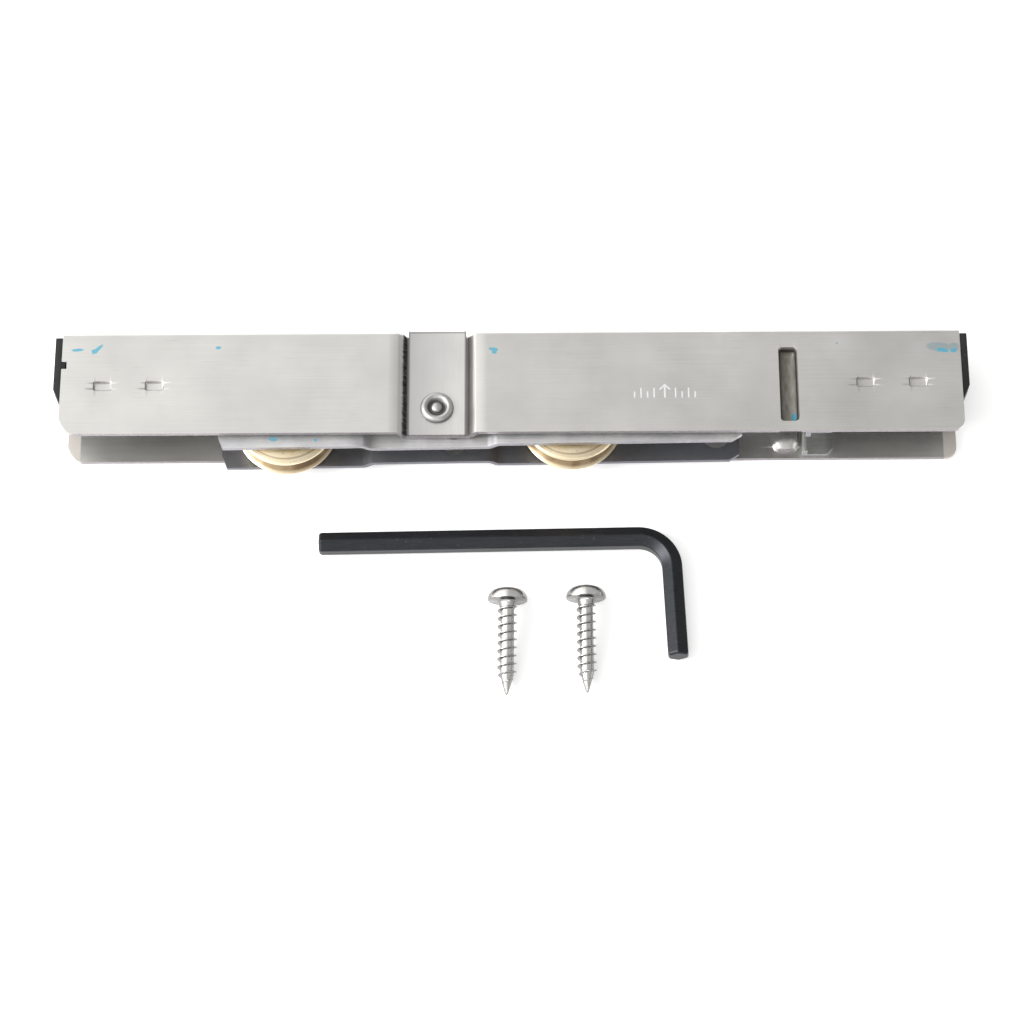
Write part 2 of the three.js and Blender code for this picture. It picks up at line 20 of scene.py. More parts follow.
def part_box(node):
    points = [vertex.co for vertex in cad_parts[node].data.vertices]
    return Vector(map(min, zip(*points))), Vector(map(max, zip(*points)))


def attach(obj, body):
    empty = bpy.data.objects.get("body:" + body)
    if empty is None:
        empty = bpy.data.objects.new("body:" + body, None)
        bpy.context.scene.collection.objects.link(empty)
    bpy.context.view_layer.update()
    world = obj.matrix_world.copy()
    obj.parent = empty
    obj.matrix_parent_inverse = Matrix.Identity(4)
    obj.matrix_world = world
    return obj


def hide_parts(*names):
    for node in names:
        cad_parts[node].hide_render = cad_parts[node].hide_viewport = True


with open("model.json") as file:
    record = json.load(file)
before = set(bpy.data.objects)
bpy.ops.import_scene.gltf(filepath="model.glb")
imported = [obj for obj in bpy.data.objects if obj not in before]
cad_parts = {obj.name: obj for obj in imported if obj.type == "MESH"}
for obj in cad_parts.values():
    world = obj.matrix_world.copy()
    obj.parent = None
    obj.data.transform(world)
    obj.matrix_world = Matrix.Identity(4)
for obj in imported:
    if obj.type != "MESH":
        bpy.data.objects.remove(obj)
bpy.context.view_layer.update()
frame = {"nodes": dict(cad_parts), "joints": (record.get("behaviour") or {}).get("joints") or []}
joints = {joint["name"]: joint for joint in frame["joints"]}
MM = 0.001

# %% [markdown]
# The driving places come from the frame. A node's box gives the housing's size, and a hinge's point
# gives each axis. All lengths in this lesson are millimetres until a mesh is finished, so the helper
# below turns frame metres into millimetres.

# %% Read the driving places


def box_mm(node):
    """The lowest and highest corner of a frame node, in millimetres."""
    low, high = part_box(node)
    return low / MM, high / MM


def hinge_mm(joint):
    """A point on a joint's axis, in millimetres."""
    return Vector(joints[joint]["pos_m"]) / MM


housing_low, housing_high = box_mm("housing_channel")
HALF_LENGTH = housing_high.x
WIDTH = housing_high.z
MIDDLE_Z = WIDTH / 2
BOTTOM = housing_low.y
WEB_TOP = -BOTTOM
PIVOT = hinge_mm("truck_rock")
WHEEL_AXES = {side: hinge_mm(f"wheel_spin_{side}") for side in ("left", "right")}
SCREW_AXIS = hinge_mm("adjust_turn")
ROCK = math.atan2(
    WHEEL_AXES["right"].y - WHEEL_AXES["left"].y, WHEEL_AXES["right"].x - WHEEL_AXES["left"].x
)
print("housing", 2 * HALF_LENGTH, "x", WEB_TOP - BOTTOM, "x", WIDTH, "mm")
print("truck rocked", math.degrees(ROCK), "degrees")

# %% [markdown]
# ## Camera
#
# The set is seen from above, a little from the wheels' side, through a long lens from about half a
# metre away. The camera's turn is written as three angles, as on the head of a tripod: the tilt away
# from straight down, then two small corrections.

# %% Make the camera
TILT = math.radians(23.14)
YAW = math.radians(-0.313)
ROLL = math.radians(0.307)
LENS_MM = 109.5
SENSOR_MM = 36.0
VIEW_DISTANCE = 558.9
AIM_SHIFT = Vector((-0.06, 9.006, 0.0))

view_turn = (
    Matrix.Rotation(ROLL, 3, "Z") @ Matrix.Rotation(YAW, 3, "Y") @ Matrix.Rotation(-TILT, 3, "X")
)
to_camera = view_turn.transposed()
row_from_edge = Vector((0, BOTTOM, 0))
camera_place = -(to_camera @ (AIM_SHIFT - Vector((0, 0, VIEW_DISTANCE)))) + row_from_edge

camera_data = bpy.data.cameras.new("camera")
camera_data.lens = LENS_MM
camera_data.sensor_width = SENSOR_MM
camera_data.clip_start = 0.01
camera = bpy.data.objects.new("camera", camera_data)
camera.matrix_world = Matrix.Translation(camera_place * MM) @ to_camera.to_4x4()
bpy.context.scene.collection.objects.link(camera)
bpy.context.scene.camera = camera
print("camera at", [round(c) for c in camera_place], "mm")

# %% [markdown]
# ## From a bmesh to a finished piece
#
# Every new piece goes through the same door. It is modelled in millimetres, because the real parts are
# drawn in millimetres, and it is scaled to metres once, at the end. Its faces are shaded smooth, with
# sharp edges wherever two faces meet at a steep angle, and where a width is given, a narrow bevel gives
# each edge the thin bright line that real edges show. The modifiers are applied at once, so the mesh
# holds what is rendered.

# %% Make a piece from a bmesh


SHADING_ANGLE = math.radians(38)
EDGE_ANGLE = math.radians(32)


def add_bevel(piece, width, steps, angle):
    """Adds a bevel, in millimetres, to the edges that are steeper than an angle."""
    bevel = piece.modifiers.new("edges", "BEVEL")
    bevel.width, bevel.segments = width * MM, steps
    bevel.limit_method, bevel.angle_limit = "ANGLE", angle
    bevel.harden_normals = True


def make_piece(name, mesh_builder, edge=0.0, edge_steps=2):
    """Turns a bmesh in millimetres into an object in metres, with narrow bevelled edges if an edge
    width is given.
    """
    bmesh.ops.scale(mesh_builder, vec=(MM, MM, MM), verts=mesh_builder.verts)
    mesh = bpy.data.meshes.new(name)
    mesh_builder.to_mesh(mesh)
    mesh_builder.free()
    piece = bpy.data.objects.new(name, mesh)
    bpy.context.scene.collection.objects.link(piece)
    mesh.polygons.foreach_set("use_smooth", [True] * len(mesh.polygons))
    if edge:
        add_bevel(piece, edge, edge_steps, EDGE_ANGLE)
        apply_modifiers(piece)
    else:
        mesh.set_sharp_from_angle(angle=SHADING_ANGLE)
    return piece


def apply_modifiers(piece):
    """Replaces a piece's mesh by what its modifiers make of it."""
    bpy.context.view_layer.update()
    finished = piece.evaluated_get(bpy.context.evaluated_depsgraph_get())
    mesh = bpy.data.meshes.new_from_object(finished)
    piece.modifiers.clear()
    rough = piece.data
    piece.data = mesh
    bpy.data.meshes.remove(rough)
    mesh.name = piece.name


def drill(piece, cutter, joined=False):
    """Adds a Boolean that takes a cutter's shape out of a piece. Joined parts may overlap."""
    hole = piece.modifiers.new("hole", "BOOLEAN")
    hole.operation, hole.solver, hole.object = "DIFFERENCE", "EXACT", cutter
    hole.use_self = joined


def cut_recess(piece, cutter):
    """Takes a cutter's shape out of a screw, whose thread overlaps its core."""
    drill(piece, cutter, joined=True)
    apply_modifiers(piece)
    bpy.data.objects.remove(cutter)
    piece.data.set_sharp_from_angle(angle=math.radians(35))


def fit(piece, body, slot, material, *nodes):
    """Rides a piece on its body, in place of its CAD nodes, with its finish. The slot is not used."""
    piece.data.materials.clear()
    piece.data.materials.append(material)
    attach(piece, body)
    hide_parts(*nodes)
    print(f"{piece.name}: {len(piece.data.polygons)} faces, rides on {body}")


# %% [markdown]
# ## Shader expressions
#
# A finish is mostly arithmetic: a mask times a strength, one minus a mask, a distance from a point.
# In the node editor each step is a Math node. Here a small class wraps a socket, so that an ordinary
# Python expression adds those nodes, and one method adds every other kind of node.

# %% Wrap sockets and nodes


class Signal:
    """A number that varies over the surface: an output socket with arithmetic."""

    def __init__(self, finish, socket):
        self.finish = finish
        self.socket = socket

    def math(self, operation, *others, clamp=False):
        settings = {"operation": operation, "use_clamp": clamp}
        return self.finish.add("ShaderNodeMath", settings, dict(enumerate((self, *others))))

    def __add__(self, other):
        return self.math("ADD", other)

    def __sub__(self, other):
        return self.math("SUBTRACT", other)

    def __rsub__(self, other):
        return self.math("MULTIPLY_ADD", -1.0, other)

    def __mul__(self, other):
        return self.math("MULTIPLY", other)

    def __truediv__(self, other):
        return self.math("DIVIDE", other)

    __radd__ = __add__
    __rmul__ = __mul__

    def rise(self, start, end):
        """0 below start, 1 above end, and straight between them."""
        return ((self - start) / (end - start)).math("MAXIMUM", 0.0).math("MINIMUM", 1.0)


class Finish:
    """A material under construction."""

    def __init__(self, name):
        self.material = bpy.data.materials.new(name)
        self.material.use_nodes = True
        self.tree = self.material.node_tree
        self.tree.nodes.clear()

    def add(self, kind, settings=None, sockets=None, output=0):
        """Adds a node: its settings first, then the values or links of its sockets."""
        node = self.tree.nodes.new(kind)
        for key, value in (settings or {}).items():
            setattr(node, key, value)
        for key, value in (sockets or {}).items():
            if isinstance(value, Signal):
                self.tree.links.new(value.socket, node.inputs[key])
            else:
                node.inputs[key].default_value = value
        return Signal(self, node.outputs[output])

    def place(self, moved=(0, 0, 0), turned=(0, 0, 0), stretched=(1, 1, 1)):
        """Object coordinates in millimetres, moved, turned and stretched as a Texture mapping does."""
        here = self.add("ShaderNodeTexCoord", output="Object")
        offset = [-m * MM for m in moved]
        here = self.add("ShaderNodeVectorMath", {"operation": "ADD"}, {0: here, 1: offset})
        scale = [s / MM for s in stretched]
        settings = {"vector_type": "POINT"}
        turned_sockets = {"Vector": here, "Rotation": [math.radians(t) for t in turned]}
        here = self.add("ShaderNodeMapping", settings, turned_sockets)
        return self.add("ShaderNodeVectorMath", {"operation": "MULTIPLY"}, {0: here, 1: scale})

    def noise(self, where, scale, detail=3.0, roughness=0.5):
        sockets = {"Vector": where, "Scale": scale, "Detail": detail, "Roughness": roughness}
        return self.add("ShaderNodeTexNoise", {}, sockets, "Fac")

    def parts(self, vector):
        node = self.add("ShaderNodeSeparateXYZ", {}, {0: vector}).socket.node
        return [Signal(self, output) for output in node.outputs]

    def blend(self, factor, first, second):
        """A colour between first and second. Each may be a plain colour or a signal."""
        settings = {"data_type": "RGBA", "clamp_factor": True}
        rgba = [c if isinstance(c, Signal) else (*c, 1.0) for c in (first, second)]
        return self.add("ShaderNodeMix", settings, {0: factor, 6: rgba[0], 7: rgba[1]}, 2)

    def smear(self, center, size, angle=0.0):
        """A soft-edged spot of the given half sizes: 1 inside, 0 outside, with a ragged outline."""
        wobble, grain = 0.35, 1.3
        where = self.place(center, (0, 0, -angle), [1 / s for s in size])
        distance = self.add("ShaderNodeVectorMath", {"operation": "LENGTH"}, {0: where}, "Value")
        ragged = self.noise(self.place(), grain, 2.0) * wobble
        return 1 - (distance + ragged).rise(0.85 + wobble / 2, 1.15 + wobble / 2)

    def bump(self, height, strength, distance):
        sockets = {"Height": height, "Strength": strength, "Distance": distance * MM}
        return self.add("ShaderNodeBump", {}, sockets, "Normal")

    def surface(self, color, roughness, metallic=0.0, normal=None, glow=0.0):
        sockets = {"Base Color": color if isinstance(color, Signal) else (*color, 1.0)}
        sockets |= {"Roughness": roughness, "Metallic": metallic}
        if glow:
            sockets |= {"Emission Color": (1.0, 1.0, 1.0, 1.0), "Emission Strength": glow}
        if normal is not None:
            sockets["Normal"] = normal
        shader = self.add("ShaderNodeBsdfPrincipled", {}, sockets)
        self.add_output(shader)
        return self.material

    def add_output(self, shader):
        node = self.tree.nodes.new("ShaderNodeOutputMaterial")
        self.tree.links.new(shader.socket, node.inputs["Surface"])


print("shader helpers are ready")

# %% [markdown]
# ## Folded sheet
#
# The housing, the strap and the truck are strips of sheet steel, pressed and then folded to a U. The
# same is done here. A flat grid is the blank. Its lines are evenly spaced at first, and each is moved
# to a station that the part needs: the edge of a hole, the wall of a pressed bead, a step round a bend.
# Then the blank is folded, pressed features move along the inward normal, and Solidify gives the sheet
# its thickness. Cutting and folding a box would give sharp corners and walls of uneven thickness.

# %% Blank and fold


def stations(stops, step):
    """Places that hold every stop and lie no further apart than step."""
    places = [stops[0]]
    for start, end in zip(stops, stops[1:]):
        count = max(1, math.ceil((end - start) / step - 1e-6))
        places += [start + (end - start) * k / count for k in range(1, count + 1)]
    return places


def around(center, offsets):
    """The offsets to both sides of a centre."""
    return [center - o for o in reversed(offsets)] + [center + o for o in offsets]


def smooth(value):
    """0 to 1 with a soft start and end."""
    value = min(max(value, 0.0), 1.0)
    return value * value * (3 - 2 * value)


def inside_rounded(dx, dy, half_x, half_y, corner):
    """How far a point lies inside a rounded rectangle. It is negative outside."""
    qx, qy = abs(dx) - half_x + corner, abs(dy) - half_y + corner
    return corner - math.hypot(max(qx, 0), max(qy, 0)) - min(max(qx, qy), 0)


class Channel:
    """A U section: two flanges in X-Y, half apart on either side of the middle, and a web at top."""

    def __init__(self, half, low, top, bend, sheet):
        self.half, self.low, self.top, self.bend, self.sheet = half, low, top, bend, sheet
        self.flange = top - bend - low
        self.arc = bend * math.pi / 2
        self.web = 2 * (half - bend)
        self.length = 2 * (self.flange + self.arc) + self.web

    def across(self, flange_stops, web_stops, step, arc_steps=7):
        """Stations along the outline, from one flange's low edge to the other's."""
        flange = stations([0.0, *[y - self.low for y in flange_stops], self.flange], step)
        arc = [self.flange + self.arc * k / arc_steps for k in range(1, arc_steps)]
        start = self.flange + self.arc
        web = stations([start, *[start + self.web / 2 + z for z in web_stops], start + self.web], step)
        near = flange + arc
        return near + web + [self.length - u for u in reversed(near)]

    def point(self, u):
        """(height, across, inward normal) of a place on the outline. Across is + on the front."""
        side = 1 if u <= self.length / 2 else -1
        u = min(u, self.length - u)
        if u <= self.flange:
            return self.low + u, side * self.half, (0, -side)
        if u <= self.flange + self.arc:
            turn = (u - self.flange) / self.bend
            y = self.top - self.bend + self.bend * math.sin(turn)
            z = self.half - self.bend + self.bend * math.cos(turn)
            return y, side * z, (-math.sin(turn), -side * math.cos(turn))
        return self.top, side * (self.half - self.bend - (u - self.flange - self.arc)), (-1, 0)


def fold(section, along, across, pressed=None, pinched=None, holes=()):
    """Folds a blank to a channel about Z = 0. Holes are cells (x0, x1, u0, u1) that are left out."""
    blank = bmesh.new()
    counts = (len(along) - 1, len(across) - 1)
    bmesh.ops.create_grid(blank, x_segments=counts[0], y_segments=counts[1], size=1.0)
    places = {}
    for vertex in blank.verts:
        i = round((vertex.co.x + 1) / 2 * counts[0])
        j = round((vertex.co.y + 1) / 2 * counts[1])
        places[vertex] = (along[i], across[j])
    gone = []
    for face in blank.faces:
        x = sum(places[v][0] for v in face.verts) / 4
        u = sum(places[v][1] for v in face.verts) / 4
        if any(x0 < x < x1 and u0 < u < u1 for x0, x1, u0, u1 in holes):
            gone.append(face)
    for vertex, (x, u) in places.items():
        y, z, inward = section.point(u)
        depth = pressed(x, y, z, inward) if pressed else 0.0
        if pinched:
            straight = section.half - section.bend
            squeeze = pinched(x)
            z -= math.copysign(squeeze, z) if abs(z) > straight else z * squeeze / straight
        vertex.co = (x, y + inward[0] * depth, z + inward[1] * depth)
    bmesh.ops.delete(blank, geom=gone, context="FACES")
    return blank


def trim(blank, point, outward):
    """Cuts the blank off beyond a plane."""
    geometry = blank.verts[:] + blank.edges[:] + blank.faces[:]
    bmesh.ops.bisect_plane(
        blank, geom=geometry, dist=1e-5, plane_co=point, plane_no=outward, clear_outer=True
    )


def round_corner(blank, corner, sides, radius):
    """Rounds a corner of the blank's outline with four straight cuts. Sides point out of it."""
    cuts = 4
    center = Vector((corner[0] - sides[0] * radius, corner[1] - sides[1] * radius, 0))
    for k in range(1, cuts + 1):
        angle = math.pi / 2 * k / (cuts + 1)
        outward = Vector((sides[0] * math.cos(angle), sides[1] * math.sin(angle), 0))
        trim(blank, center + outward * radius, outward)


def make_sheet(name, blank, thickness, cutters=(), edge=0.11):
    """Gives a folded blank its thickness, drills it, and breaks its edges."""
    sheet = make_piece(name, blank)
    wall = sheet.modifiers.new("thickness", "SOLIDIFY")
    wall.thickness = thickness * MM
    wall.offset = -1
    wall.use_even_offset = True
    for cutter in cutters:
        drill(sheet, cutter)
    add_bevel(sheet, edge, 2, math.radians(50))
    sheet.data.polygons.foreach_set("use_smooth", [True] * len(sheet.data.polygons))
    apply_modifiers(sheet)
    for cutter in cutters:
        bpy.data.objects.remove(cutter)
    return sheet


def pin_cutter(start, end, radius, segments=32):
    """A round cutter between two points, in millimetres."""
    start, end = Vector(start), Vector(end)
    builder = bmesh.new()
    bmesh.ops.create_cone(
        builder, cap_ends=True, segments=segments, radius1=radius, radius2=radius,
        depth=(end - start).length,
    )
    turn = (end - start).to_track_quat("Z", "Y").to_matrix().to_4x4()
    matrix = Matrix.Translation((start + end) / 2) @ turn
    bmesh.ops.transform(builder, matrix=matrix, verts=builder.verts)
    return make_piece("cutter", builder)


def slot_cutter(start, end, radius, depth):
    """A cutter for a round-ended slot through a sheet in X-Y, depth high about Z = 0."""
    start, end = Vector((*start, 0)), Vector((*end, 0))
    builder = bmesh.new()
    made = bmesh.ops.create_circle(builder, cap_ends=True, segments=32, radius=radius)
    direction = (end - start).normalized()
    for vertex in made["verts"]:
        vertex.co += end if vertex.co.dot(direction) > 0 else start
    bmesh.ops.translate(builder, vec=(0, 0, -depth / 2), verts=builder.verts)
    grown = bmesh.ops.extrude_face_region(builder, geom=builder.faces[:])
    top = [part for part in grown["geom"] if isinstance(part, bmesh.types.BMVert)]
    bmesh.ops.translate(builder, vec=(0, 0, depth), verts=top)
    bmesh.ops.recalc_face_normals(builder, faces=builder.faces)
    return make_piece("cutter", builder)


print("sheet helpers are ready")

# %% [markdown]
# ## Housing
#
# The housing is the visible body: 0.9 mm bright zinc-plated steel. Its web is pierced for the wheels
# and for two fixing screws. Both flanges carry the same pressed features: a waist at the pivot, steeper
# on its left side, that leaves room for the strap, four small dimples that grip the end plugs, and an
# upright bead that the adjusting screw's bracket leans on.

# %% Fold the housing
SHEET = 0.9
BEND = 1.3
WAIST_DEPTH = 1.9
WAIST_HALF = 5.3
WAIST_RAMP = 1.7
BEAD_X = 49.1
BEAD_LOW = -8.2
BEAD_HIGH = 6.2
BEAD_HALF = 1.68
BEAD_DEPTH = 1.9
BEAD_WALL = 0.34
BEAD_WALL_SHARE = 0.62
DIMPLES = (-72.3, -63.1, 62.7, 72.0)
DIMPLE_Y = -0.7
DIMPLE_HALF = (1.65, 0.9)
DIMPLE_DEPTH = 0.5
DIMPLE_WALL = 0.3
WINDOWS = ((-49.9, -35.6), (1.5, 15.9))
WINDOW_HALF = 3.5
FIXING_X = 67.0
FIXING_HOLE_RADIUS = 2.1
PAD = (34.2, 52.4)
PAD_MIDDLE = sum(PAD) / 2
PAD_HALF_WIDTH = 4.3
PAD_RISE = 0.28

housing_section = Channel(WIDTH / 2, BOTTOM, WEB_TOP, BEND, SHEET)


def housing_waist(x):
    """How far each flange is pinched in at x."""
    share = (WAIST_HALF + WAIST_RAMP - abs(x - PIVOT.x)) / WAIST_RAMP
    if x > PIVOT.x:
        return WAIST_DEPTH * smooth(share)
    return WAIST_DEPTH * (0.2 * smooth(share / 0.5) + 0.8 * smooth((share - 0.42) / 0.58))


def housing_press(x, y, z, inward):
    """The depth of the pressed features at a place on the housing's skin."""
    if inward[0] == 0:
        bead_middle = (BEAD_LOW + BEAD_HIGH) / 2
        bead_half = (BEAD_HIGH - BEAD_LOW) / 2
        d = inside_rounded(x - BEAD_X, y - bead_middle, BEAD_HALF, bead_half, 0.8)
        if d > 0:
            hollow = 1 - (1 - min(d / BEAD_HALF, 1)) ** 2
            steep = BEAD_WALL_SHARE * smooth(d / BEAD_WALL)
            return BEAD_DEPTH * (steep + (1 - BEAD_WALL_SHARE) * hollow)
        for middle in DIMPLES:
            d = inside_rounded(x - middle, y - DIMPLE_Y, *DIMPLE_HALF, 0.45)
            if d > 0:
                return DIMPLE_DEPTH * smooth(d / DIMPLE_WALL)
    if inward[0] == -1:
        d = inside_rounded(x - PAD_MIDDLE, z, (PAD[1] - PAD[0]) / 2, PAD_HALF_WIDTH, 1.0)
        return -PAD_RISE * smooth(d / 0.5)
    return 0.0


dimple_steps = [DIMPLE_HALF[0] - s for s in (0.6, 0.3, 0.2, 0.1, 0.0)]
bead_steps = [0.0, 0.5, 0.95, 1.2, *[BEAD_HALF - s for s in (BEAD_WALL, 0.23, 0.11, 0.0)]]
waist_steps = [WAIST_HALF + WAIST_RAMP * k / 10 for k in range(11)]
stops_x = [-HALF_LENGTH, -HALF_LENGTH + 0.9, *WINDOWS[0], *WINDOWS[1], *PAD, HALF_LENGTH]
stops_x += around(BEAD_X, bead_steps) + around(PIVOT.x, waist_steps) + around(PAD_MIDDLE, [8.6, 8.85])
for place in DIMPLES:
    stops_x += around(place, dimple_steps)
stops_x = sorted({round(x, 3) for x in stops_x})
dimple_rows = [DIMPLE_HALF[1] - s for s in (0.6, 0.3, 0.2, 0.1, 0.0)]
end_steps = (0.0, 0.11, 0.23, 0.34, 0.8, 1.4)
stops_y = [BEAD_LOW + s for s in end_steps] + [BEAD_HIGH - s for s in end_steps] + [2.7, 4.1]
stops_y = sorted({round(y, 3) for y in stops_y + around(DIMPLE_Y, dimple_rows)})
across = housing_section.across(stops_y, around(0, [WINDOW_HALF, 4.0, PAD_HALF_WIDTH]), 1.6)
web_middle = housing_section.length / 2
holes = [(x0, x1, web_middle - WINDOW_HALF, web_middle + WINDOW_HALF) for x0, x1 in WINDOWS]
for sign in (1, -1):
    notch = sorted(web_middle + sign * (y - BOTTOM - web_middle) for y in (2.7, 4.1))
    holes.append((-HALF_LENGTH, -HALF_LENGTH + 0.9, *notch))
blank = fold(housing_section, stations(stops_x, 1.9), across, housing_press, housing_waist, holes)
trim(blank, (-HALF_LENGTH, BOTTOM + 2.4, 0), (-2.4, -1.9, 0))
trim(blank, (-HALF_LENGTH, BOTTOM + 3.0, 0), (-3.6, -1.5, 0))
trim(blank, (-HALF_LENGTH + 2.6, BOTTOM, 0), (-1.2, -3.2, 0))
round_corner(blank, (HALF_LENGTH, BOTTOM), (1, -1), 2.1)
bmesh.ops.translate(blank, vec=(0, 0, MIDDLE_Z), verts=blank.verts)
cutters = [
    pin_cutter((x, WEB_TOP - 2, MIDDLE_Z), (x, WEB_TOP + 1, MIDDLE_Z), FIXING_HOLE_RADIUS)
    for x in (-FIXING_X, FIXING_X)
]
housing = make_sheet("housing", blank, SHEET, cutters)
print("housing faces", len(housing.data.polygons))

# %% [markdown]
# ## Strap, truck and bracket
#
# A saddle strap is folded over the housing's waist and holds the pivot rivet. The truck is a second,
# smaller channel that hangs on the rivet by two sloping slots and carries the wheels. It is modelled
# straight, with the rivet at the origin, and then turned and moved as one: the truck is rocked a little
# where the cassette lies. The bracket is a short plate with two legs that stops the adjusting screw.

# %% Fold the strap
STRAP_SHEET = 0.75
strap_low, strap_high = box_mm("saddle_strap")
strap_section = Channel((strap_high.z - strap_low.z) / 2, BOTTOM, strap_high.y, 1.25, STRAP_SHEET)
blank = fold(
    strap_section,
    stations([strap_low.x, strap_high.x], 1.5),
    strap_section.across([], [], 1.6, 9),
)
bmesh.ops.translate(blank, vec=(0, 0, MIDDLE_Z), verts=blank.verts)
rivet_hole = pin_cutter((PIVOT.x, PIVOT.y, -1), (PIVOT.x, PIVOT.y, WIDTH + 1), 1.55)
strap = make_sheet("strap", blank, STRAP_SHEET, [rivet_hole], 0.13)

# %% Fold the truck
TRUCK_HALF = 4.7
TRUCK_LEFT = -38.7
TRUCK_RIGHT = 53.7
TRUCK_LOW = -6.8
TRUCK_TOP = 8.6
TRUCK_PINCH = 1.2
TRUCK_PINCH_ENDS = (-12.3, 9.7)
TRUCK_RAMP = 1.0
WHEEL_X = (-26.85, 23.85)
AXLE_Y = 0.03
AXLE_HOLE_RADIUS = 1.55
WHEEL_WINDOW = (6.5, 3.2)
END_WINDOW = (37.0, 3.9)
SLOT_RADIUS = 2.4
END_SLOT_X = 49.67
SLOPE = math.radians(135) - ROCK
LIFT = joints["truck_lift"]["range_m"][1] / MM
DROP = -joints["truck_lift"]["range_m"][0] / MM


def truck_waist(x):
    """How far each truck flange is pinched in at x from the rivet."""
    edge = min(x - TRUCK_PINCH_ENDS[0], TRUCK_PINCH_ENDS[1] - x)
    return TRUCK_PINCH * smooth((edge + TRUCK_RAMP) / (2 * TRUCK_RAMP))


truck_section = Channel(TRUCK_HALF, TRUCK_LOW, TRUCK_TOP, BEND, SHEET)
stops_x = [TRUCK_LEFT, TRUCK_RIGHT, END_WINDOW[0]]
stops_x += [x + side * WHEEL_WINDOW[0] for x in WHEEL_X for side in (-1, 1)]
ramp_steps = [TRUCK_RAMP * share for share in (-1.0, -0.5, 0.0, 0.5, 1.0)]
stops_x += [end + s for end in TRUCK_PINCH_ENDS for s in ramp_steps]
web_middle = truck_section.length / 2
windows = [(x - WHEEL_WINDOW[0], x + WHEEL_WINDOW[0], WHEEL_WINDOW[1]) for x in WHEEL_X]
windows.append((END_WINDOW[0], TRUCK_RIGHT, END_WINDOW[1]))
holes = [(x0, x1, web_middle - reach, web_middle + reach) for x0, x1, reach in windows]
blank = fold(
    truck_section,
    stations(sorted(stops_x), 2.4),
    truck_section.across([], [-WHEEL_WINDOW[1], WHEEL_WINDOW[1]], 1.9),
    None,
    truck_waist,
    holes,
)
trim(blank, (TRUCK_LEFT, TRUCK_LOW + 2.4, 0), (-2.4, -0.9, 0))
trim(blank, (TRUCK_RIGHT, TRUCK_LOW + 1.1, 0), (1.1, -1.8, 0))
slope = Vector((math.cos(SLOPE), math.sin(SLOPE)))
truck_cutters = [
    slot_cutter(-slope * (LIFT + 0.1), slope * (DROP + 0.1), SLOT_RADIUS, 14),
    slot_cutter((END_SLOT_X, -2.1), (END_SLOT_X, TRUCK_TOP - SHEET - SLOT_RADIUS), SLOT_RADIUS, 14),
]
truck_cutters += [pin_cutter((x, AXLE_Y, -7), (x, AXLE_Y, 7), AXLE_HOLE_RADIUS) for x in WHEEL_X]
truck = make_sheet("truck", blank, SHEET, truck_cutters, 0.12)
to_pivot = Matrix.Translation(Vector((PIVOT.x, PIVOT.y, MIDDLE_Z)) * MM)
truck.data.transform(to_pivot @ Matrix.Rotation(ROCK, 4, "Z"))
print("truck faces", len(truck.data.polygons))

# %% [markdown]
# ### Small pieces with the right shape already
#
# The bracket, the draw nut and the two end plugs are blocks with pockets. The mechanical model has
# their shape exactly, so each is copied from its node. The copy's loose triangles are merged and its
# flat faces are made whole, and then the bevel can follow the true edges, with a wide one for moulded
# plastic and a narrow one for pressed steel.

# %% Copy and soften


def soften(name, node, edge, steps=2):
    """A copy of a CAD node with merged flat faces and bevelled edges."""
    builder = bmesh.new()
    builder.from_mesh(frame["nodes"][node].data)
    bmesh.ops.remove_doubles(builder, verts=builder.verts, dist=1e-6)
    bmesh.ops.dissolve_limit(
        builder, angle_limit=math.radians(1.5), verts=builder.verts, edges=builder.edges
    )
    bmesh.ops.scale(builder, vec=(1 / MM, 1 / MM, 1 / MM), verts=builder.verts)
    return make_piece(name, builder, edge=edge, edge_steps=steps)


bracket = soften("bracket", "thrust_bracket", 0.2)
nut = soften("nut", "draw_nut", 0.25)
plug_left = soften("plug_left", "end_plug_left", 0.28, 3)
plug_right = soften("plug_right", "end_plug_right", 0.28, 3)

# %% [markdown]
# ## Turned pieces
#
# Wheels, races, washers, axles and the rivet are turned or formed on a lathe or a press, so each is a
# profile spun round its axis. The profile is a chain of points, radius and height, and the spin is
# merged at its seam. A profile that reaches the axis is closed there, and a ring's profile is a loop.

# %% Spin a profile


def spin(profile, ring=False, segments=72):
    """A bmesh spun from a profile of (radius, height) points round Z, in millimetres."""
    builder = bmesh.new()
    chain = [builder.verts.new((radius, 0, height)) for radius, height in profile]
    pairs = list(zip(chain, chain[1:])) + ([(chain[-1], chain[0])] if ring else [])
    edges = [builder.edges.new(pair) for pair in pairs]
    bmesh.ops.spin(
        builder, geom=chain + edges, cent=(0, 0, 0), axis=(0, 0, 1), dvec=(0, 0, 0),
        angle=2 * math.pi, steps=segments, use_merge=True, use_duplicate=False,
    )
    bmesh.ops.remove_doubles(builder, verts=builder.verts, dist=1e-4)
    bmesh.ops.recalc_face_normals(builder, faces=builder.faces)
    return builder


def move(builder, matrix):
    bmesh.ops.transform(builder, matrix=matrix, verts=builder.verts)
    return builder


def turned(name, profile, at, ring=False, segments=72):
    """A piece spun round an axis along Z."""
    return make_piece(name, move(spin(profile, ring, segments), Matrix.Translation(at)))


def mirrored(profile, top=0.0):
    """The same profile from its end to its start, turned over about half of top."""
    return [(radius, top - height) for radius, height in reversed(profile)]


print("spin helper is ready")

# %% [markdown]
# The wheels are brass, grooved to run on a round-topped track. The flat side is faced on the lathe, a
# narrow rim stands between it and the groove, and each corner is broken by a small radius.

# %% Spin the wheels
WHEEL_RADIUS = 9.05
WHEEL_SIDE = 2.5
GROOVE_DEPTH = 1.5
GROOVE_HALF = 1.85
HUB_RADIUS = 5.3


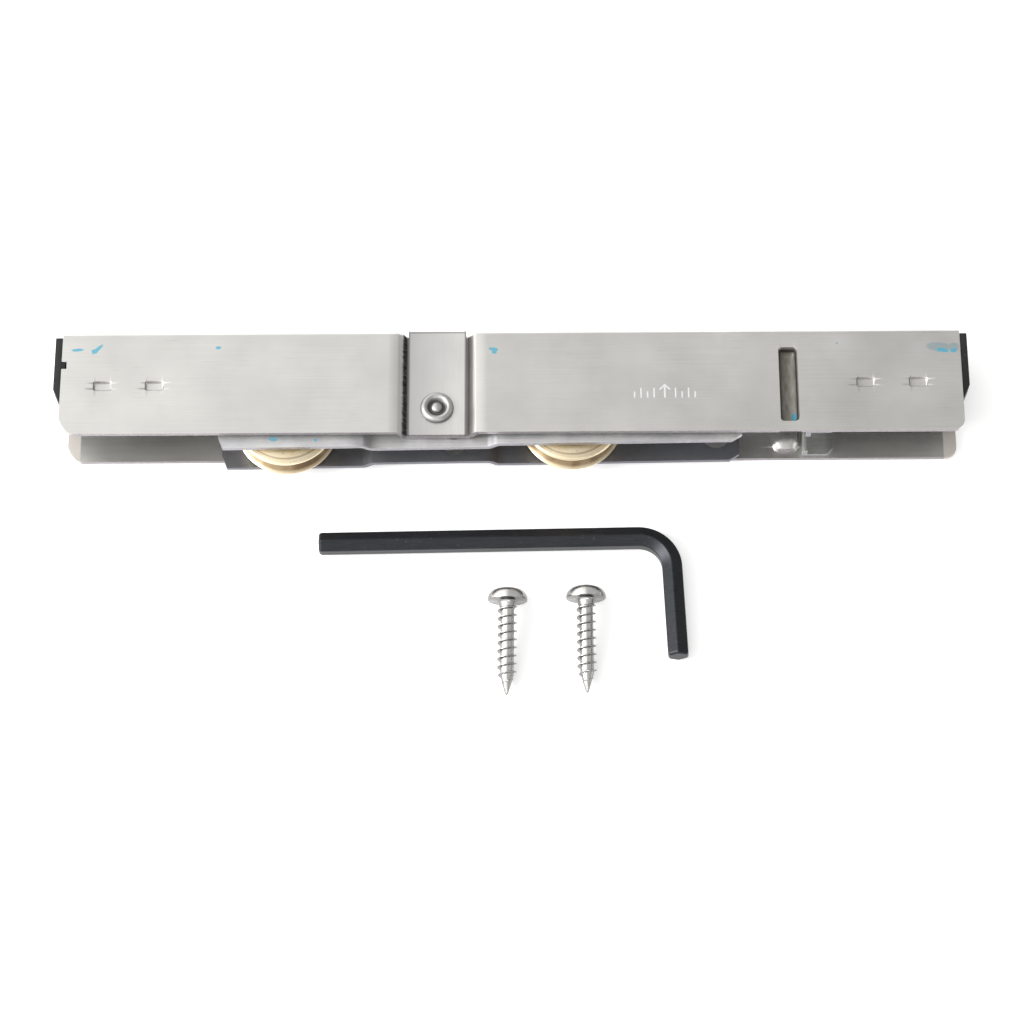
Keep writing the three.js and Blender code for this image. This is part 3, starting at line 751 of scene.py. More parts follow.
def wheel_profile():
    groove = []
    for k in range(17):
        across = GROOVE_HALF * (k / 8 - 1)
        shape = 1 - abs(across / GROOVE_HALF) ** 2.3
        groove.append((WHEEL_RADIUS - GROOVE_DEPTH * shape, across))
    rim = [(8.05, 0.0), (8.15, 0.05), (8.6, 0.05), (8.84, 0.14), (8.97, 0.27), (WHEEL_RADIUS, 0.44)]
    lower = [(radius, height - WHEEL_SIDE) for radius, height in rim]
    upper = mirrored(lower)
    bore = [(HUB_RADIUS, WHEEL_SIDE - 0.15), (HUB_RADIUS, 0.15 - WHEEL_SIDE)]
    face = [(HUB_RADIUS + 0.15, -WHEEL_SIDE)]
    return [*face, *lower, *groove, *upper, (HUB_RADIUS + 0.15, WHEEL_SIDE), *bore]


wheels = {
    side: turned(f"wheel_brass_{side}", wheel_profile(), axis, True, 128)
    for side, axis in WHEEL_AXES.items()
}

# %% [markdown]
# Inside each wheel sits a small ball bearing: a hardened inner and outer race, with a shallow track for
# the balls, on a riveted axle between two washers.

# %% Spin the bearings and axles


def race_profile(bore, outer, half, track_outside):
    """A race with a ball track on its outer or inner side."""
    track = [(-0.62, 0.0), (-0.45, 0.2), (-0.2, 0.3), (0.0, 0.33), (0.2, 0.3), (0.45, 0.2), (0.62, 0.0)]
    c = 0.15
    low = [(bore, c - half), (bore + c, -half), (outer - c, -half), (outer, c - half)]
    high = [(outer, half - c), (outer - c, half), (bore + c, half), (bore, half - c)]
    if track_outside:
        return low + [(outer - depth, across) for across, depth in track] + high
    return low + high + [(bore + depth, -across) for across, depth in track]


bearings = {}
for side, axis in WHEEL_AXES.items():
    outer = turned(f"race_outer_{side}", race_profile(4.45, 5.25, 2.2, False), axis, True)
    inner = turned(f"race_inner_{side}", race_profile(1.56, 2.75, 2.7, True), axis, True)
    washer = [(1.6, -0.38), (1.72, -0.5), (3.05, -0.5), (3.2, -0.35)]
    washer += mirrored(washer)
    offsets = {"front": Vector((0, 0, 3.25)), "back": Vector((0, 0, -3.25))}
    pair = [turned(f"washer_{n}_{side}", washer, axis + step, True) for n, step in offsets.items()]
    head = [(1.5, 4.75), (2.3, 4.75), (2.4, 4.85), (2.38, 5.0), (2.1, 5.2), (1.5, 5.3), (0, 5.3)]
    axle = turned(f"axle_{side}", mirrored(head) + [(1.5, 0.0)] + head, axis)
    bearings[side] = (outer, inner, *pair, axle)
print("bearings:", sum(len(group) for group in bearings.values()), "pieces")

# %% [markdown]
# The pivot is a semi-tubular rivet. Its front head is rolled over into a ring, with a shallow recess
# inside it and a bright nub in the middle, where the tool pressed. Its back head is a plain low dome.

# %% Spin the rivet and its bush
rivet_low, rivet_high = box_mm("pivot_rivet")
front = rivet_high.z - 0.9
head = [(0, 12.72), (0.45, 12.69), (0.8, 12.55), (1.0, 12.3), (1.1, 12.12), (1.3, 12.08)]
head.append((1.5, 12.2))
head += [(1.72, 12.55), (1.95, 12.79), (2.25, 12.85), (2.55, 12.74), (2.8, 12.45), (2.93, 12.15)]
head += [(2.95, front + 0.05), (2.85, front), (1.5, front)]
back = rivet_low.z + 0.8
foot = [(1.5, back), (2.55, back), (2.6, back - 0.1), (2.5, back - 0.35), (2.1, back - 0.65)]
foot += [(1.3, back - 0.79), (0, back - 0.8)]
rivet = turned("rivet", head + foot, (PIVOT.x, PIVOT.y, 0), False, 64)
bush_low, bush_high = box_mm("slide_bush")
bush_profile = [(1.55, 0.1), (1.65, 0), (2.2, 0), (2.3, 0.1)]
bush_profile += mirrored(bush_profile, bush_high.z - bush_low.z)
bush = turned("bush", bush_profile, (PIVOT.x, PIVOT.y, bush_low.z), True, 48)

# %% [markdown]
# ## Threads
#
# The adjusting screw and the two fixing screws have real threads. A thread is a small ridge that climbs
# as it goes round, so its section is spun with a rise at each step, and the core is an ordinary spun
# profile inside it. On a fixing screw the ridge also shrinks towards the tip, with the core.

# %% Spin threads


def add_thread(builder, core, crest, pitch, start, end, taper=0.0, root=0.42):
    """Winds a ridge from start to end along Z. It shrinks over the taper. Its root is in pitches."""
    steps = 28
    turns = (end - start) / pitch
    flank = root * pitch
    inner = core - 0.12
    section = [(inner, -flank), (crest, -0.04 * pitch), (crest, 0.04 * pitch), (inner, flank)]
    ring = [builder.verts.new((radius, 0, start + height)) for radius, height in section]
    face = builder.faces.new(ring)
    bmesh.ops.spin(
        builder, geom=[face, *face.edges, *ring], cent=(0, 0, 0), axis=(0, 0, 1),
        dvec=(0, 0, pitch / steps), angle=2 * math.pi * turns, steps=round(steps * turns),
        use_merge=False, use_duplicate=False,
    )
    thread = {v for v in builder.verts if v.is_valid and len(v.link_faces) and v.co.z <= end + pitch}
    if taper:
        for vertex in thread:
            along = (vertex.co.z - start) / taper
            if along < 1:
                share = max(along, 0.04)
                vertex.co.x *= share
                vertex.co.y *= share
    bmesh.ops.recalc_face_normals(builder, faces=builder.faces)


def join_builders(first, second):
    """Adds the second bmesh's parts to the first."""
    mesh = bpy.data.meshes.new("joined")
    second.to_mesh(mesh)
    second.free()
    first.from_mesh(mesh)
    bpy.data.meshes.remove(mesh)
    return first


# %% [markdown]
# The adjusting screw lies along the housing behind the plug. Its head has a hexagon socket that the key
# fits. A socket is cut with a six-sided cutter, so the screw is spun first and drilled afterwards.

# %% Make the adjusting screw
screw_low, screw_high = box_mm("adjust_screw")
washer_start = box_mm("thrust_washer")[0].x
HEAD_START = screw_high.x - 4.2
SHANK = HEAD_START - screw_low.x
head = [(0, 4.2), (3.0, 4.2), (3.25, 4.12), (3.42, 3.9), (3.45, 3.75), (3.45, 0.12), (3.35, 0)]
head.append((2.0, 0))
shank = [(1.62, -0.4), (1.62, -SHANK + 0.8), (1.3, -SHANK), (0, -SHANK)]
builder = spin(head + shank, False, 56)
thread = bmesh.new()
add_thread(thread, 1.62, 2.0, 0.794, -SHANK + 1.1, -0.9)
join_builders(builder, thread)
lay_down = Matrix.Rotation(math.pi / 2, 4, "Y")


def on_axis(x):
    """A point on the adjusting screw's axis."""
    return Vector((x, SCREW_AXIS.y, SCREW_AXIS.z))


adjuster = make_piece("adjuster", move(builder, Matrix.Translation(on_axis(HEAD_START)) @ lay_down))
SOCKET_ACROSS = 3.63
socket_ends = on_axis(screw_high.x - 2.4), on_axis(screw_high.x + 1)
cut_recess(adjuster, pin_cutter(*socket_ends, SOCKET_ACROSS / math.sqrt(3), 6))

washer = [(2.15, 0.08), (2.25, 0), (3.85, 0), (4.0, 0.12)]
washer += mirrored(washer, 0.8)
in_place = Matrix.Translation(on_axis(washer_start)) @ lay_down
thrust_washer = make_piece("thrust_washer_plain", move(spin(washer, True, 48), in_place))
print("adjusting screw faces", len(adjuster.data.polygons))

# %% [markdown]
# ## Hex key
#
# A hex key is a length of hexagon bar, bent over a former. The bar starts as a six-sided disc, is
# extruded along the long arm, spun round the bend's centre and extruded again. The last third of a
# millimetre at each end narrows to a chamfer, and the bevel rounds the six long corners a little, as
# drawn bar has.

# %% Bend the key
KEY_START = Vector((-34.1, -26.62, 0))
KEY_LONG = 62.1
KEY_SHORT = 22.5
KEY_HEADING = math.radians(0.8)
KEY_TURN = math.radians(88.4)
KEY_BEND = 5.95
KEY_ACROSS = 3.57
KEY_LEAN = math.radians(3)
key_radius = KEY_ACROSS / math.sqrt(3)
setback = KEY_BEND * math.tan(KEY_TURN / 2)
chamfer = 0.35
CHAMFER_SHARE = 0.84
to_heading = Matrix(((0, 0, 1, 0), (1, 0, 0, 0), (0, 1, 0, 0), (0, 0, 0, 1)))

builder = bmesh.new()
bmesh.ops.create_circle(builder, cap_ends=True, segments=6, radius=key_radius)
laid_on_edge = Matrix.Translation((0, 0, key_radius)) @ to_heading @ Matrix.Rotation(KEY_LEAN, 4, "Z")
bmesh.ops.transform(builder, matrix=laid_on_edge, verts=builder.verts)


def narrow(verts):
    """Draws the six corners of an end together."""
    middle = sum((v.co for v in verts), Vector()) / 6
    for vertex in verts:
        vertex.co = middle + (vertex.co - middle) * CHAMFER_SHARE


def grow(face, step):
    """Extrudes an end face by a step. Returns the new end and its corners."""
    made = bmesh.ops.extrude_face_region(builder, geom=[face])["geom"]
    verts = [part for part in made if isinstance(part, bmesh.types.BMVert)]
    bmesh.ops.translate(builder, vec=step, verts=verts)
    return next(part for part in made if isinstance(part, bmesh.types.BMFace)), verts


start_face = builder.faces[:][0]
first_verts = list(start_face.verts)
end, verts = grow(start_face, Vector((chamfer, 0, 0)))
narrow(first_verts)
bmesh.ops.contextual_create(builder, geom=first_verts)
for k in range(6):
    end, verts = grow(end, Vector(((KEY_LONG - setback - chamfer) / 6, 0, 0)))
bend_x = KEY_LONG - setback
spun = bmesh.ops.spin(
    builder, geom=[end, *end.edges, *end.verts], cent=(bend_x, -KEY_BEND, 0), axis=(0, 0, -1),
    dvec=(0, 0, 0), angle=KEY_TURN, steps=20, use_merge=False, use_duplicate=False,
)
end = next(part for part in spun["geom_last"] if isinstance(part, bmesh.types.BMFace))
heading = Vector((math.cos(-KEY_TURN), math.sin(-KEY_TURN), 0))
for distance in (KEY_SHORT - setback - chamfer, chamfer):
    last = end
    end, verts = grow(last, heading * distance)
    bmesh.ops.delete(builder, geom=[last], context="FACES_ONLY")
narrow(verts)
bmesh.ops.remove_doubles(builder, verts=builder.verts, dist=1e-4)
caps = [face for face in builder.faces if len(face.verts) == 6]
inner_caps = [cap for cap in caps if all(len(edge.link_faces) > 2 for edge in cap.edges)]
bmesh.ops.delete(builder, geom=inner_caps, context="FACES_ONLY")
bmesh.ops.recalc_face_normals(builder, faces=builder.faces)
on_bench = Matrix.Translation(KEY_START) @ Matrix.Rotation(KEY_HEADING, 4, "Z")
bmesh.ops.transform(builder, matrix=on_bench, verts=builder.verts)
open_edges = [e for e in builder.edges if len(e.link_faces) != 2]
key = make_piece("key_bent", builder, edge=0.2, edge_steps=3)
print("key faces", len(key.data.polygons), "open edges", len(open_edges))

# %% [markdown]
# ## Fixing screws
#
# The two number 6 self-tapping screws have pan heads with a cross recess. Each lies on the rim of its
# head and on the foot of its thread, so its tip droops a little towards the bench.

# %% Make and lay the fixing screws
PAN_RADIUS = 3.5
PAN_HEIGHT = 2.4
THREAD_RADIUS = 1.72
CORE_RADIUS = 1.2
FIXING_LENGTH = 19.2
TIP_LENGTH = 3.6
FIXING_PITCH = 1.45
FIXING_PLACES = {
    "left": (Vector((-0.74, -35.96)), Vector((-1.0, -54.92))),
    "right": (Vector((12.93, -35.56)), Vector((13.03, -54.57))),
}
FIXING_TURNS = {"left": 20, "right": 65}
NECK = FIXING_LENGTH - PAN_HEIGHT
droop = math.atan2(PAN_RADIUS - THREAD_RADIUS, NECK - TIP_LENGTH)
tip_height = THREAD_RADIUS * math.cos(droop) - TIP_LENGTH * math.sin(droop) + 0.05


def cross_cutter():
    """Two tapered wings that leave a cross in the head."""
    builder = bmesh.new()
    for size in ((3.7, 0.82), (0.82, 3.7)):
        made = bmesh.ops.create_cube(builder, size=1.0)
        for vertex in made["verts"]:
            deep = vertex.co.z < 0
            narrowed = [0.45 if side == max(size) else 0.7 for side in size] if deep else (1.0, 1.0)
            vertex.co.x *= size[0] * narrowed[0]
            vertex.co.y *= size[1] * narrowed[1]
            vertex.co.z = FIXING_LENGTH + (-1.75 if deep else 0.3)
    return builder


def make_fixing_screw(side, head, tip):
    pan = [(1.75, NECK - 0.1), (1.9, NECK), (3.3, NECK), (3.46, NECK + 0.1), (PAN_RADIUS, NECK + 0.3)]
    pan += [(3.47, NECK + 0.7), (3.32, NECK + 1.15), (3.0, NECK + 1.6), (2.5, NECK + 1.95)]
    pan += [(1.8, NECK + 2.22), (0.9, NECK + 2.37), (0, FIXING_LENGTH)]
    core = [(0, 0), (0.3, 0.35), (CORE_RADIUS, TIP_LENGTH), (CORE_RADIUS, NECK - 1.5)]
    core += [(1.45, NECK - 1.0), (1.6, NECK - 0.4)]
    builder = spin(core + pan, False, 56)
    thread = bmesh.new()
    add_thread(thread, CORE_RADIUS, THREAD_RADIUS, FIXING_PITCH, 0.3, NECK - 1.0, TIP_LENGTH, 0.2)
    join_builders(builder, thread)
    along = head - tip
    laid = Matrix.Translation((tip.x, tip.y, tip_height))
    laid = laid @ Matrix.Rotation(math.atan2(along.y, along.x), 4, "Z")
    laid = laid @ Matrix.Rotation(math.pi / 2 - droop, 4, "Y")
    laid = laid @ Matrix.Rotation(math.radians(FIXING_TURNS[side]), 4, "Z")
    screw = make_piece(f"self_tapper_{side}", move(builder, laid))
    cut_recess(screw, make_piece("cutter", move(cross_cutter(), laid)))
    return screw


fixing_screws = {side: make_fixing_screw(side, *places) for side, places in FIXING_PLACES.items()}
print("fixing screws:", [len(screw.data.polygons) for screw in fixing_screws.values()], "faces")

# %% [markdown]
# ## Steel finishes
#
# The sheet parts are bright zinc-plated steel. Three things make it look real: long fine rolling marks
# that run along the strip, slow cloudy changes in tone, and sheared edges that are duller than the
# face. All of it is measured in millimetres on the object's own coordinates, so it stays with the part.

# %% Make a steel


def start_steel(name, light, dark, streaks=(0.045, 7.0, 7.0), cloud=0.09):
    """A finish with its plain steel colour, rolling marks and clouds, before stains."""
    finish = Finish(name)
    marks = finish.noise(finish.place(stretched=streaks), 1.0, 4.0, 0.6)
    clouds = finish.noise(finish.place(), cloud, 3.0, 0.55)
    tone = (marks * 0.4 + clouds * 0.6).rise(0.32, 0.68)
    return finish, finish.blend(tone, dark, light), marks, clouds


def facing(finish):
    """The three parts of the surface's own direction, on the object's axes."""
    return finish.parts(finish.add("ShaderNodeTexCoord", output="Normal"))


def dull_edges_and_shade_web(finish, color, shade, amount=0.8, ends=False):
    """Darkens sheared edges, which face down, or endways if asked, and greys faces that face +Y, such
    as the web, with a painted shade.
    """
    x, y, z = facing(finish)
    # Painted shade: faces towards +Y, such as the web, are greyed to tone down their reflection of the
    # bright floor.
    color = finish.blend(y.rise(0.86, 0.97) * 0.6, color, (0.42, 0.42, 0.425))
    edge = (0 - y).rise(0.75, 0.95)
    if ends:
        edge = edge.math("MAXIMUM", x.math("ABSOLUTE").rise(0.55, 0.85))
    specks = finish.noise(finish.place(stretched=(1, 2.2, 2.2)), 2.6, 4.0, 0.7).rise(0.35, 0.62)
    return edge, finish.blend(edge * amount * (0.55 + 0.45 * specks), color, shade)


def stain(finish, color, spots, ink, depth=0.85):
    """Lays soft ragged spots of one colour over another. Returns the colour and the mask."""
    mask = None
    for center, size, angle in spots:
        spot = finish.smear(center, size, angle)
        mask = spot if mask is None else mask.math("MAXIMUM", spot)
    return finish.blend(mask * depth, color, ink), mask


INK = (0.035, 0.36, 0.50)
FRONT = WIDTH
print("steel helpers are ready")

# %% [markdown]
# The housing carries a few smears of light blue marking ink from the press shop, some beside the end
# plugs and some along the top bend. It also has a faint etched mark that shows which way to turn: an
# arrow between two rows of ticks. Each stroke of the mark is a thin bar, soft at its edges. The lanced
# rims of the dimples carry a painted shade line, the hollow of the bead dirt and painted shade, and the
# steep wall beside the strap a painted shadow. The inner ends of the back flange get a painted light.

# %% Finish the housing


STROKE_SOFTNESS = 0.12


def bar(finish, center, size, angle=0.0):
    """A straight stroke with the given half sizes on the front face, 1 inside and 0 outside."""
    x, y, z = finish.parts(finish.place((*center, FRONT), (0, 0, -angle)))
    half_step = STROKE_SOFTNESS / 2
    across = (size[0] - x.math("ABSOLUTE")).rise(-half_step, half_step)
    up = (size[1] - y.math("ABSOLUTE")).rise(-half_step, half_step)
    return across * up * (0.5 - z.math("ABSOLUTE")).rise(0.0, 0.2)


BRIGHT_STEEL = (0.83, 0.82, 0.79)
DULL_STEEL = (0.70, 0.69, 0.665)
steel, face_color, marks, clouds = start_steel("housing_steel", BRIGHT_STEEL, DULL_STEEL)
nicks = steel.noise(steel.place(stretched=(0.16, 7.0, 7.0)), 1.0, 2.0, 0.5).rise(0.66, 0.74)
patches = steel.noise(steel.place(), 0.16, 2.0, 0.5).rise(0.45, 0.6)
face_color = steel.blend(nicks * patches * 0.35, face_color, (0.30, 0.30, 0.30))
edge_mask, face_color = dull_edges_and_shade_web(steel, face_color, (0.16, 0.13, 0.17))
# Painted shade: a dark line round each dimple's rim, on its side away from the light, broken up by
# noise.
outline = None
for middle in DIMPLES:
    x, y, z = steel.parts(steel.place((middle, DIMPLE_Y, FRONT)))
    out_x = (x.math("ABSOLUTE") - (DIMPLE_HALF[0] - 0.4)).math("MAXIMUM", 0.0)
    out_y = (y.math("ABSOLUTE") - (DIMPLE_HALF[1] - 0.4)).math("MAXIMUM", 0.0)
    rim = ((out_x * out_x + out_y * out_y).math("SQRT") - 0.36).math("ABSOLUTE")
    shaded_side = 1 - (y * 0.6 + x * 0.25).rise(0.2, 0.75)
    line = (1 - rim.rise(0.03, 0.14)) * shaded_side * (z + 1.2).rise(0.0, 0.2)
    outline = line if outline is None else outline.math("MAXIMUM", line)
ragged_shade = steel.noise(steel.place(), 1.6, 3.0, 0.7).rise(0.38, 0.55)
face_color = steel.blend(outline * (0.25 + 0.5 * ragged_shade), face_color, (0.10, 0.10, 0.11))

# The bead's hollow is darkened with dirt and painted shade, and its walls and ends with a near-black
# painted shadow.
x, y, z = steel.parts(steel.place((BEAD_X, (BEAD_LOW + BEAD_HIGH) / 2, FRONT)))
sunk = (0 - z).rise(0.35, 0.8) * (2.0 - x.math("ABSOLUTE")).rise(0.0, 0.2) * (z + 3).rise(0.0, 0.2)
dirt_and_shade = steel.noise(steel.place(stretched=(1.5, 0.5, 1)), 1.0, 3.0, 0.6)
face_color = steel.blend(sunk * (0.6 + 0.6 * dirt_and_shade), face_color, (0.25, 0.235, 0.205))
corner = (x.math("ABSOLUTE").rise(0.9, 1.45)).math("MAXIMUM", y.math("ABSOLUTE").rise(6.2, 6.9))
face_color = steel.blend(sunk * corner * 0.8, face_color, (0.06, 0.055, 0.05))
# Painted shadow in the gap between the waist's steep left wall and the strap, broken up by scratches.
x, y, z = steel.parts(steel.place((PIVOT.x - WAIST_HALF - 0.45, 0, FRONT)))
scratches = steel.noise(steel.place(stretched=(0.5, 3.4, 0.5)), 1.0, 3.0, 0.7).rise(0.35, 0.6)
wall = (1 - (x + 0.05).math("ABSOLUTE").rise(0.2, 0.55)) * (z + 3.0).rise(0.0, 0.3)
face_color = steel.blend(wall * (0.12 + 0.75 * scratches), face_color, (0.05, 0.05, 0.055))
# Painted light on the inner ends of the back flange: lighter, rougher and less metallic.
ends = (steel.parts(steel.place())[0].math("ABSOLUTE") - 77.4).rise(0.0, 0.1)
inner = (2.0 - steel.parts(steel.place())[2]).rise(0.0, 0.3)
painted_end_light = ends * inner
face_color = steel.blend(painted_end_light * 0.9, face_color, (0.66, 0.615, 0.57))

ink_spots = [
    ((-77.0, 6.4, FRONT), (1.1, 0.28, 1.5), 4),
    ((-73.5, 6.5, FRONT), (1.25, 0.33, 1.5), 46),
    ((-74.0, 6.1, FRONT), (0.55, 0.45, 1.5), 0),
    ((-52.0, 6.7, FRONT), (0.5, 0.3, 1.5), 0),
    ((-3.1, 6.15, FRONT), (0.85, 0.32, 1.5), -8),
    ((-2.95, 5.7, FRONT), (0.45, 0.5, 1.5), 0),
    ((57.9, 6.95, FRONT), (0.2, 0.12, 1.5), 0),
    ((76.6, 5.45, FRONT), (1.1, 0.42, 1.5), -12),
    ((78.5, 5.4, FRONT), (0.6, 0.4, 1.5), 20),
    ((49.9, -6.9, FRONT - 1.2), (0.42, 1.0, 1.8), 0),
]
wash = [((76.0, 6.1, FRONT), (2.2, 0.9, 1.5), -6), ((78.6, 6.0, FRONT), (0.9, 0.9, 1.5), 0)]
face_color = stain(steel, face_color, wash, INK, 0.3)[0]
face_color, ink = stain(steel, face_color, ink_spots, INK, 0.85)
mark_middle = Vector((27.1, -2.3))
strokes = [bar(steel, mark_middle, (0.16, 1.25))]
for side in (-1, 1):
    strokes.append(bar(steel, mark_middle + Vector((side * 0.45, 0.8)), (0.14, 0.7), side * 45))
    for k, height in enumerate((0.95, 0.6, 0.95, 0.6)):
        offset = Vector((side * (1.9 + 1.15 * k), height - 1.25))
        strokes.append(bar(steel, mark_middle + offset, (0.13, height)))
etched = strokes[0]
for stroke in strokes[1:]:
    etched = etched.math("MAXIMUM", stroke)
face_color = steel.blend(etched * 0.7, face_color, (0.93, 0.94, 0.95))
rough = 0.22 + 0.14 * marks + 0.10 * clouds + 0.2 * edge_mask + 0.15 * etched + 0.2 * painted_end_light
rough = rough + 0.2 * sunk
dents = steel.noise(steel.place(stretched=(0.35, 1.0, 1.0)), 0.35, 2.0, 0.5)
height = marks * 0.6 + dents * 2.2 - etched * 1.5
metallic = 0.92 - 0.75 * ink - 0.4 * etched - 0.45 * painted_end_light
housing_steel = steel.surface(face_color, rough, metallic, steel.bump(height, 0.3, 0.03))
print("housing finish nodes", len(steel.tree.nodes))

# %% [markdown]
# The strap, truck, rivet and bracket are the same kind of steel with other tones: the strap is a little
# warmer, and the truck and the riveted axles have the blue-grey of a zinc coat with its small crystals.

# %% Finish the other steel pieces
strap_finish, color, marks, clouds = start_steel(
    "strap_steel", (0.93, 0.915, 0.88), (0.78, 0.77, 0.75), (5.0, 0.12, 5.0)
)
x, y, z = strap_finish.parts(strap_finish.place((PIVOT.x, 0, 0)))
# Painted shade: the strap is darker towards its left end.
color = strap_finish.blend(1 - x.rise(-6.5, 3.5), color, (0.55, 0.55, 0.555))
# Painted shade: a dark line along the strap's side edges and across its top bend.
painted_border_shade = (x.math("ABSOLUTE") - (strap_high.x - PIVOT.x - 0.3)).rise(0.0, 0.14)
painted_border_shade = painted_border_shade.math("MAXIMUM", 1 - (y - (strap_high.y - 0.75)).math("ABSOLUTE").rise(0.08, 0.2))
color = strap_finish.blend(painted_border_shade * (0.45 + 0.4 * marks), color, (0.10, 0.09, 0.10))
color = dull_edges_and_shade_web(strap_finish, color, (0.12, 0.10, 0.12), 0.85, ends=True)[1]
strap_steel = strap_finish.surface(
    color, 0.33 + 0.15 * marks, 0.92, strap_finish.bump(marks, 0.25, 0.02)
)

rivet_finish, color, marks, clouds = start_steel(
    "rivet_steel", (0.74, 0.73, 0.71), (0.50, 0.49, 0.48), (1.5, 1.5, 1.5), 0.4
)
x, y, z = rivet_finish.parts(rivet_finish.place((PIVOT.x, PIVOT.y, 0)))
reach = (x * x + y * y).math("SQRT")
# Painted shade in the recess round the nub, and a dark painted outline round the rim of the head.
rivet_shade = (1 - (reach - 1.25).math("ABSOLUTE").rise(0.2, 0.6)) * (z - 11.0).rise(0, 0.5)
rivet_shade = rivet_shade.math("MAXIMUM", (reach - 2.55).rise(0.0, 0.35) * 0.85)
color = rivet_finish.blend(rivet_shade * 0.85, color, (0.07, 0.065, 0.065))
rivet_steel = rivet_finish.surface(color, 0.24 + 0.2 * marks + 0.3 * rivet_shade, 0.95)


def make_zinc(name, light, dark, spots=(), shaded_below=None):
    """Zinc plate: blue-grey, with faint crystals and shallow dents. Below a height it is darkened with
    painted shade.
    """
    zinc, color, marks, clouds = start_steel(name, light, dark, (0.12, 3.0, 3.0), 0.2)
    cells = {"Vector": zinc.place(), "Scale": 1.1}
    crystals = zinc.add("ShaderNodeTexVoronoi", {"feature": "F1"}, cells, "Distance")
    color = zinc.blend(crystals * 0.16, color, tuple(c * 0.7 for c in dark))
    if shaded_below is not None:
        # Painted shade: everything below the given height is darkened, for the shadowed inside of the
        # truck.
        interior_shade = 1 - (zinc.parts(zinc.place())[2] - shaded_below).rise(-0.2, 0.2)
        color = zinc.blend(interior_shade * (0.8 + 0.2 * clouds), color, (0.20, 0.205, 0.23))
    color = dull_edges_and_shade_web(zinc, color, (0.17, 0.16, 0.19), 0.85)[1]
    metallic = 0.9
    if spots:
        color, ink = stain(zinc, color, spots, INK, 0.8)
        metallic = 0.9 - 0.7 * ink
    return zinc.surface(color, 0.36 + 0.16 * clouds, metallic, zinc.bump(crystals + marks, 0.18, 0.03))


truck_front = MIDDLE_Z + TRUCK_HALF
truck_zinc = make_zinc(
    "truck_zinc", (0.90, 0.89, 0.87), (0.66, 0.665, 0.69),
    [((-41.9, -10.4, truck_front), (0.8, 0.4, 1), 0), ((-34.5, -10.6, truck_front), (0.35, 0.3, 1), 0)],
    MIDDLE_Z - 1.3,
)
dark_zinc = make_zinc("dark_zinc", (0.50, 0.50, 0.52), (0.30, 0.30, 0.33))
bracket_zinc = make_zinc("bracket_zinc", (0.72, 0.73, 0.70), (0.50, 0.52, 0.50))

# %% [markdown]
# Turned brass is smooth on its faces, with faint rings left by the tool, and darker and browner in the
# groove. Each wheel has its own centre, so a finish is made for each.

# %% Finish the wheels


def make_brass(side):
    axis = WHEEL_AXES[side]
    brass = Finish(f"brass_{side}")
    x, y, z = brass.parts(brass.place(axis))
    reach = (x * x + y * y).math("SQRT")
    rings_at = brass.add("ShaderNodeCombineXYZ", {}, {0: reach, 1: z, 2: 0.0})
    rings = brass.noise(rings_at, 5.0, 3.0, 0.6)
    clouds = brass.noise(brass.place(), 0.35, 3.0, 0.5)
    tone = (rings * 0.35 + clouds * 0.65).rise(0.3, 0.7)
    color = brass.blend(tone, (0.90, 0.74, 0.49), (1.0, 0.89, 0.66))
    groove = (GROOVE_HALF - z.math("ABSOLUTE")).rise(0.0, 0.35) * (reach - 6.5).rise(0.0, 0.5)
    groove_tone = brass.blend(clouds.rise(0.35, 0.65), (0.24, 0.165, 0.095), (0.42, 0.32, 0.20))
    color = brass.blend(groove, color, groove_tone)
    specks = brass.noise(brass.place(), 1.7, 3.0, 0.6).rise(0.58, 0.72)
    color = brass.blend(specks * 0.28, color, (0.33, 0.15, 0.07))
    # Painted shade: a thin dark line at the step between the face and the rim.
    step = 1 - (reach - 8.02).math("ABSOLUTE").rise(0.06, 0.24)
    color = brass.blend(step * (1 - groove) * 0.55, color, (0.22, 0.15, 0.08))
    hub = 1 - (reach - HUB_RADIUS).rise(0.0, 1.4)
    color = brass.blend(hub * 0.5, color, (0.20, 0.13, 0.08))
    height = rings * (1 - groove) * 0.7
    rough = 0.30 + 0.12 * rings + 0.15 * groove
    return brass.surface(color, rough, 0.9, brass.bump(height, 0.3, 0.02))


wheel_finishes = {side: make_brass(side) for side in WHEEL_AXES}
bearing_finish = Finish("bearing_steel")
glow = bearing_finish.noise(bearing_finish.place(), 0.8, 3.0)
bearing_steel = bearing_finish.surface(
    bearing_finish.blend(glow, (0.55, 0.54, 0.52), (0.36, 0.35, 0.34)), 0.22 + 0.15 * glow, 0.95
)

# %% [markdown]
# The plugs are moulded black plastic with a fine spark texture and paler scuffs. The key is black oxide
# on hardened steel: nearly black, half glossy from its oil film, with small bare specks where it has
# rubbed. The fixing screws are nickel plated. They get painted light on their upper side, and painted
# shade on the flanks of the thread, under the head and where they lie.

# %% Finish the plastic, the key and the screws
plastic = Finish("black_plastic")
texture = plastic.noise(plastic.place(), 7.0, 3.0, 0.6)
scuffs = plastic.noise(plastic.place(stretched=(1, 3, 1)), 0.7, 5.0, 0.65).rise(0.55, 0.8)
color = plastic.blend(scuffs * 0.5, (0.009, 0.009, 0.010), (0.06, 0.06, 0.065))
black_plastic = plastic.surface(color, 0.45 + 0.25 * scuffs, 0.0, plastic.bump(texture, 0.35, 0.06))

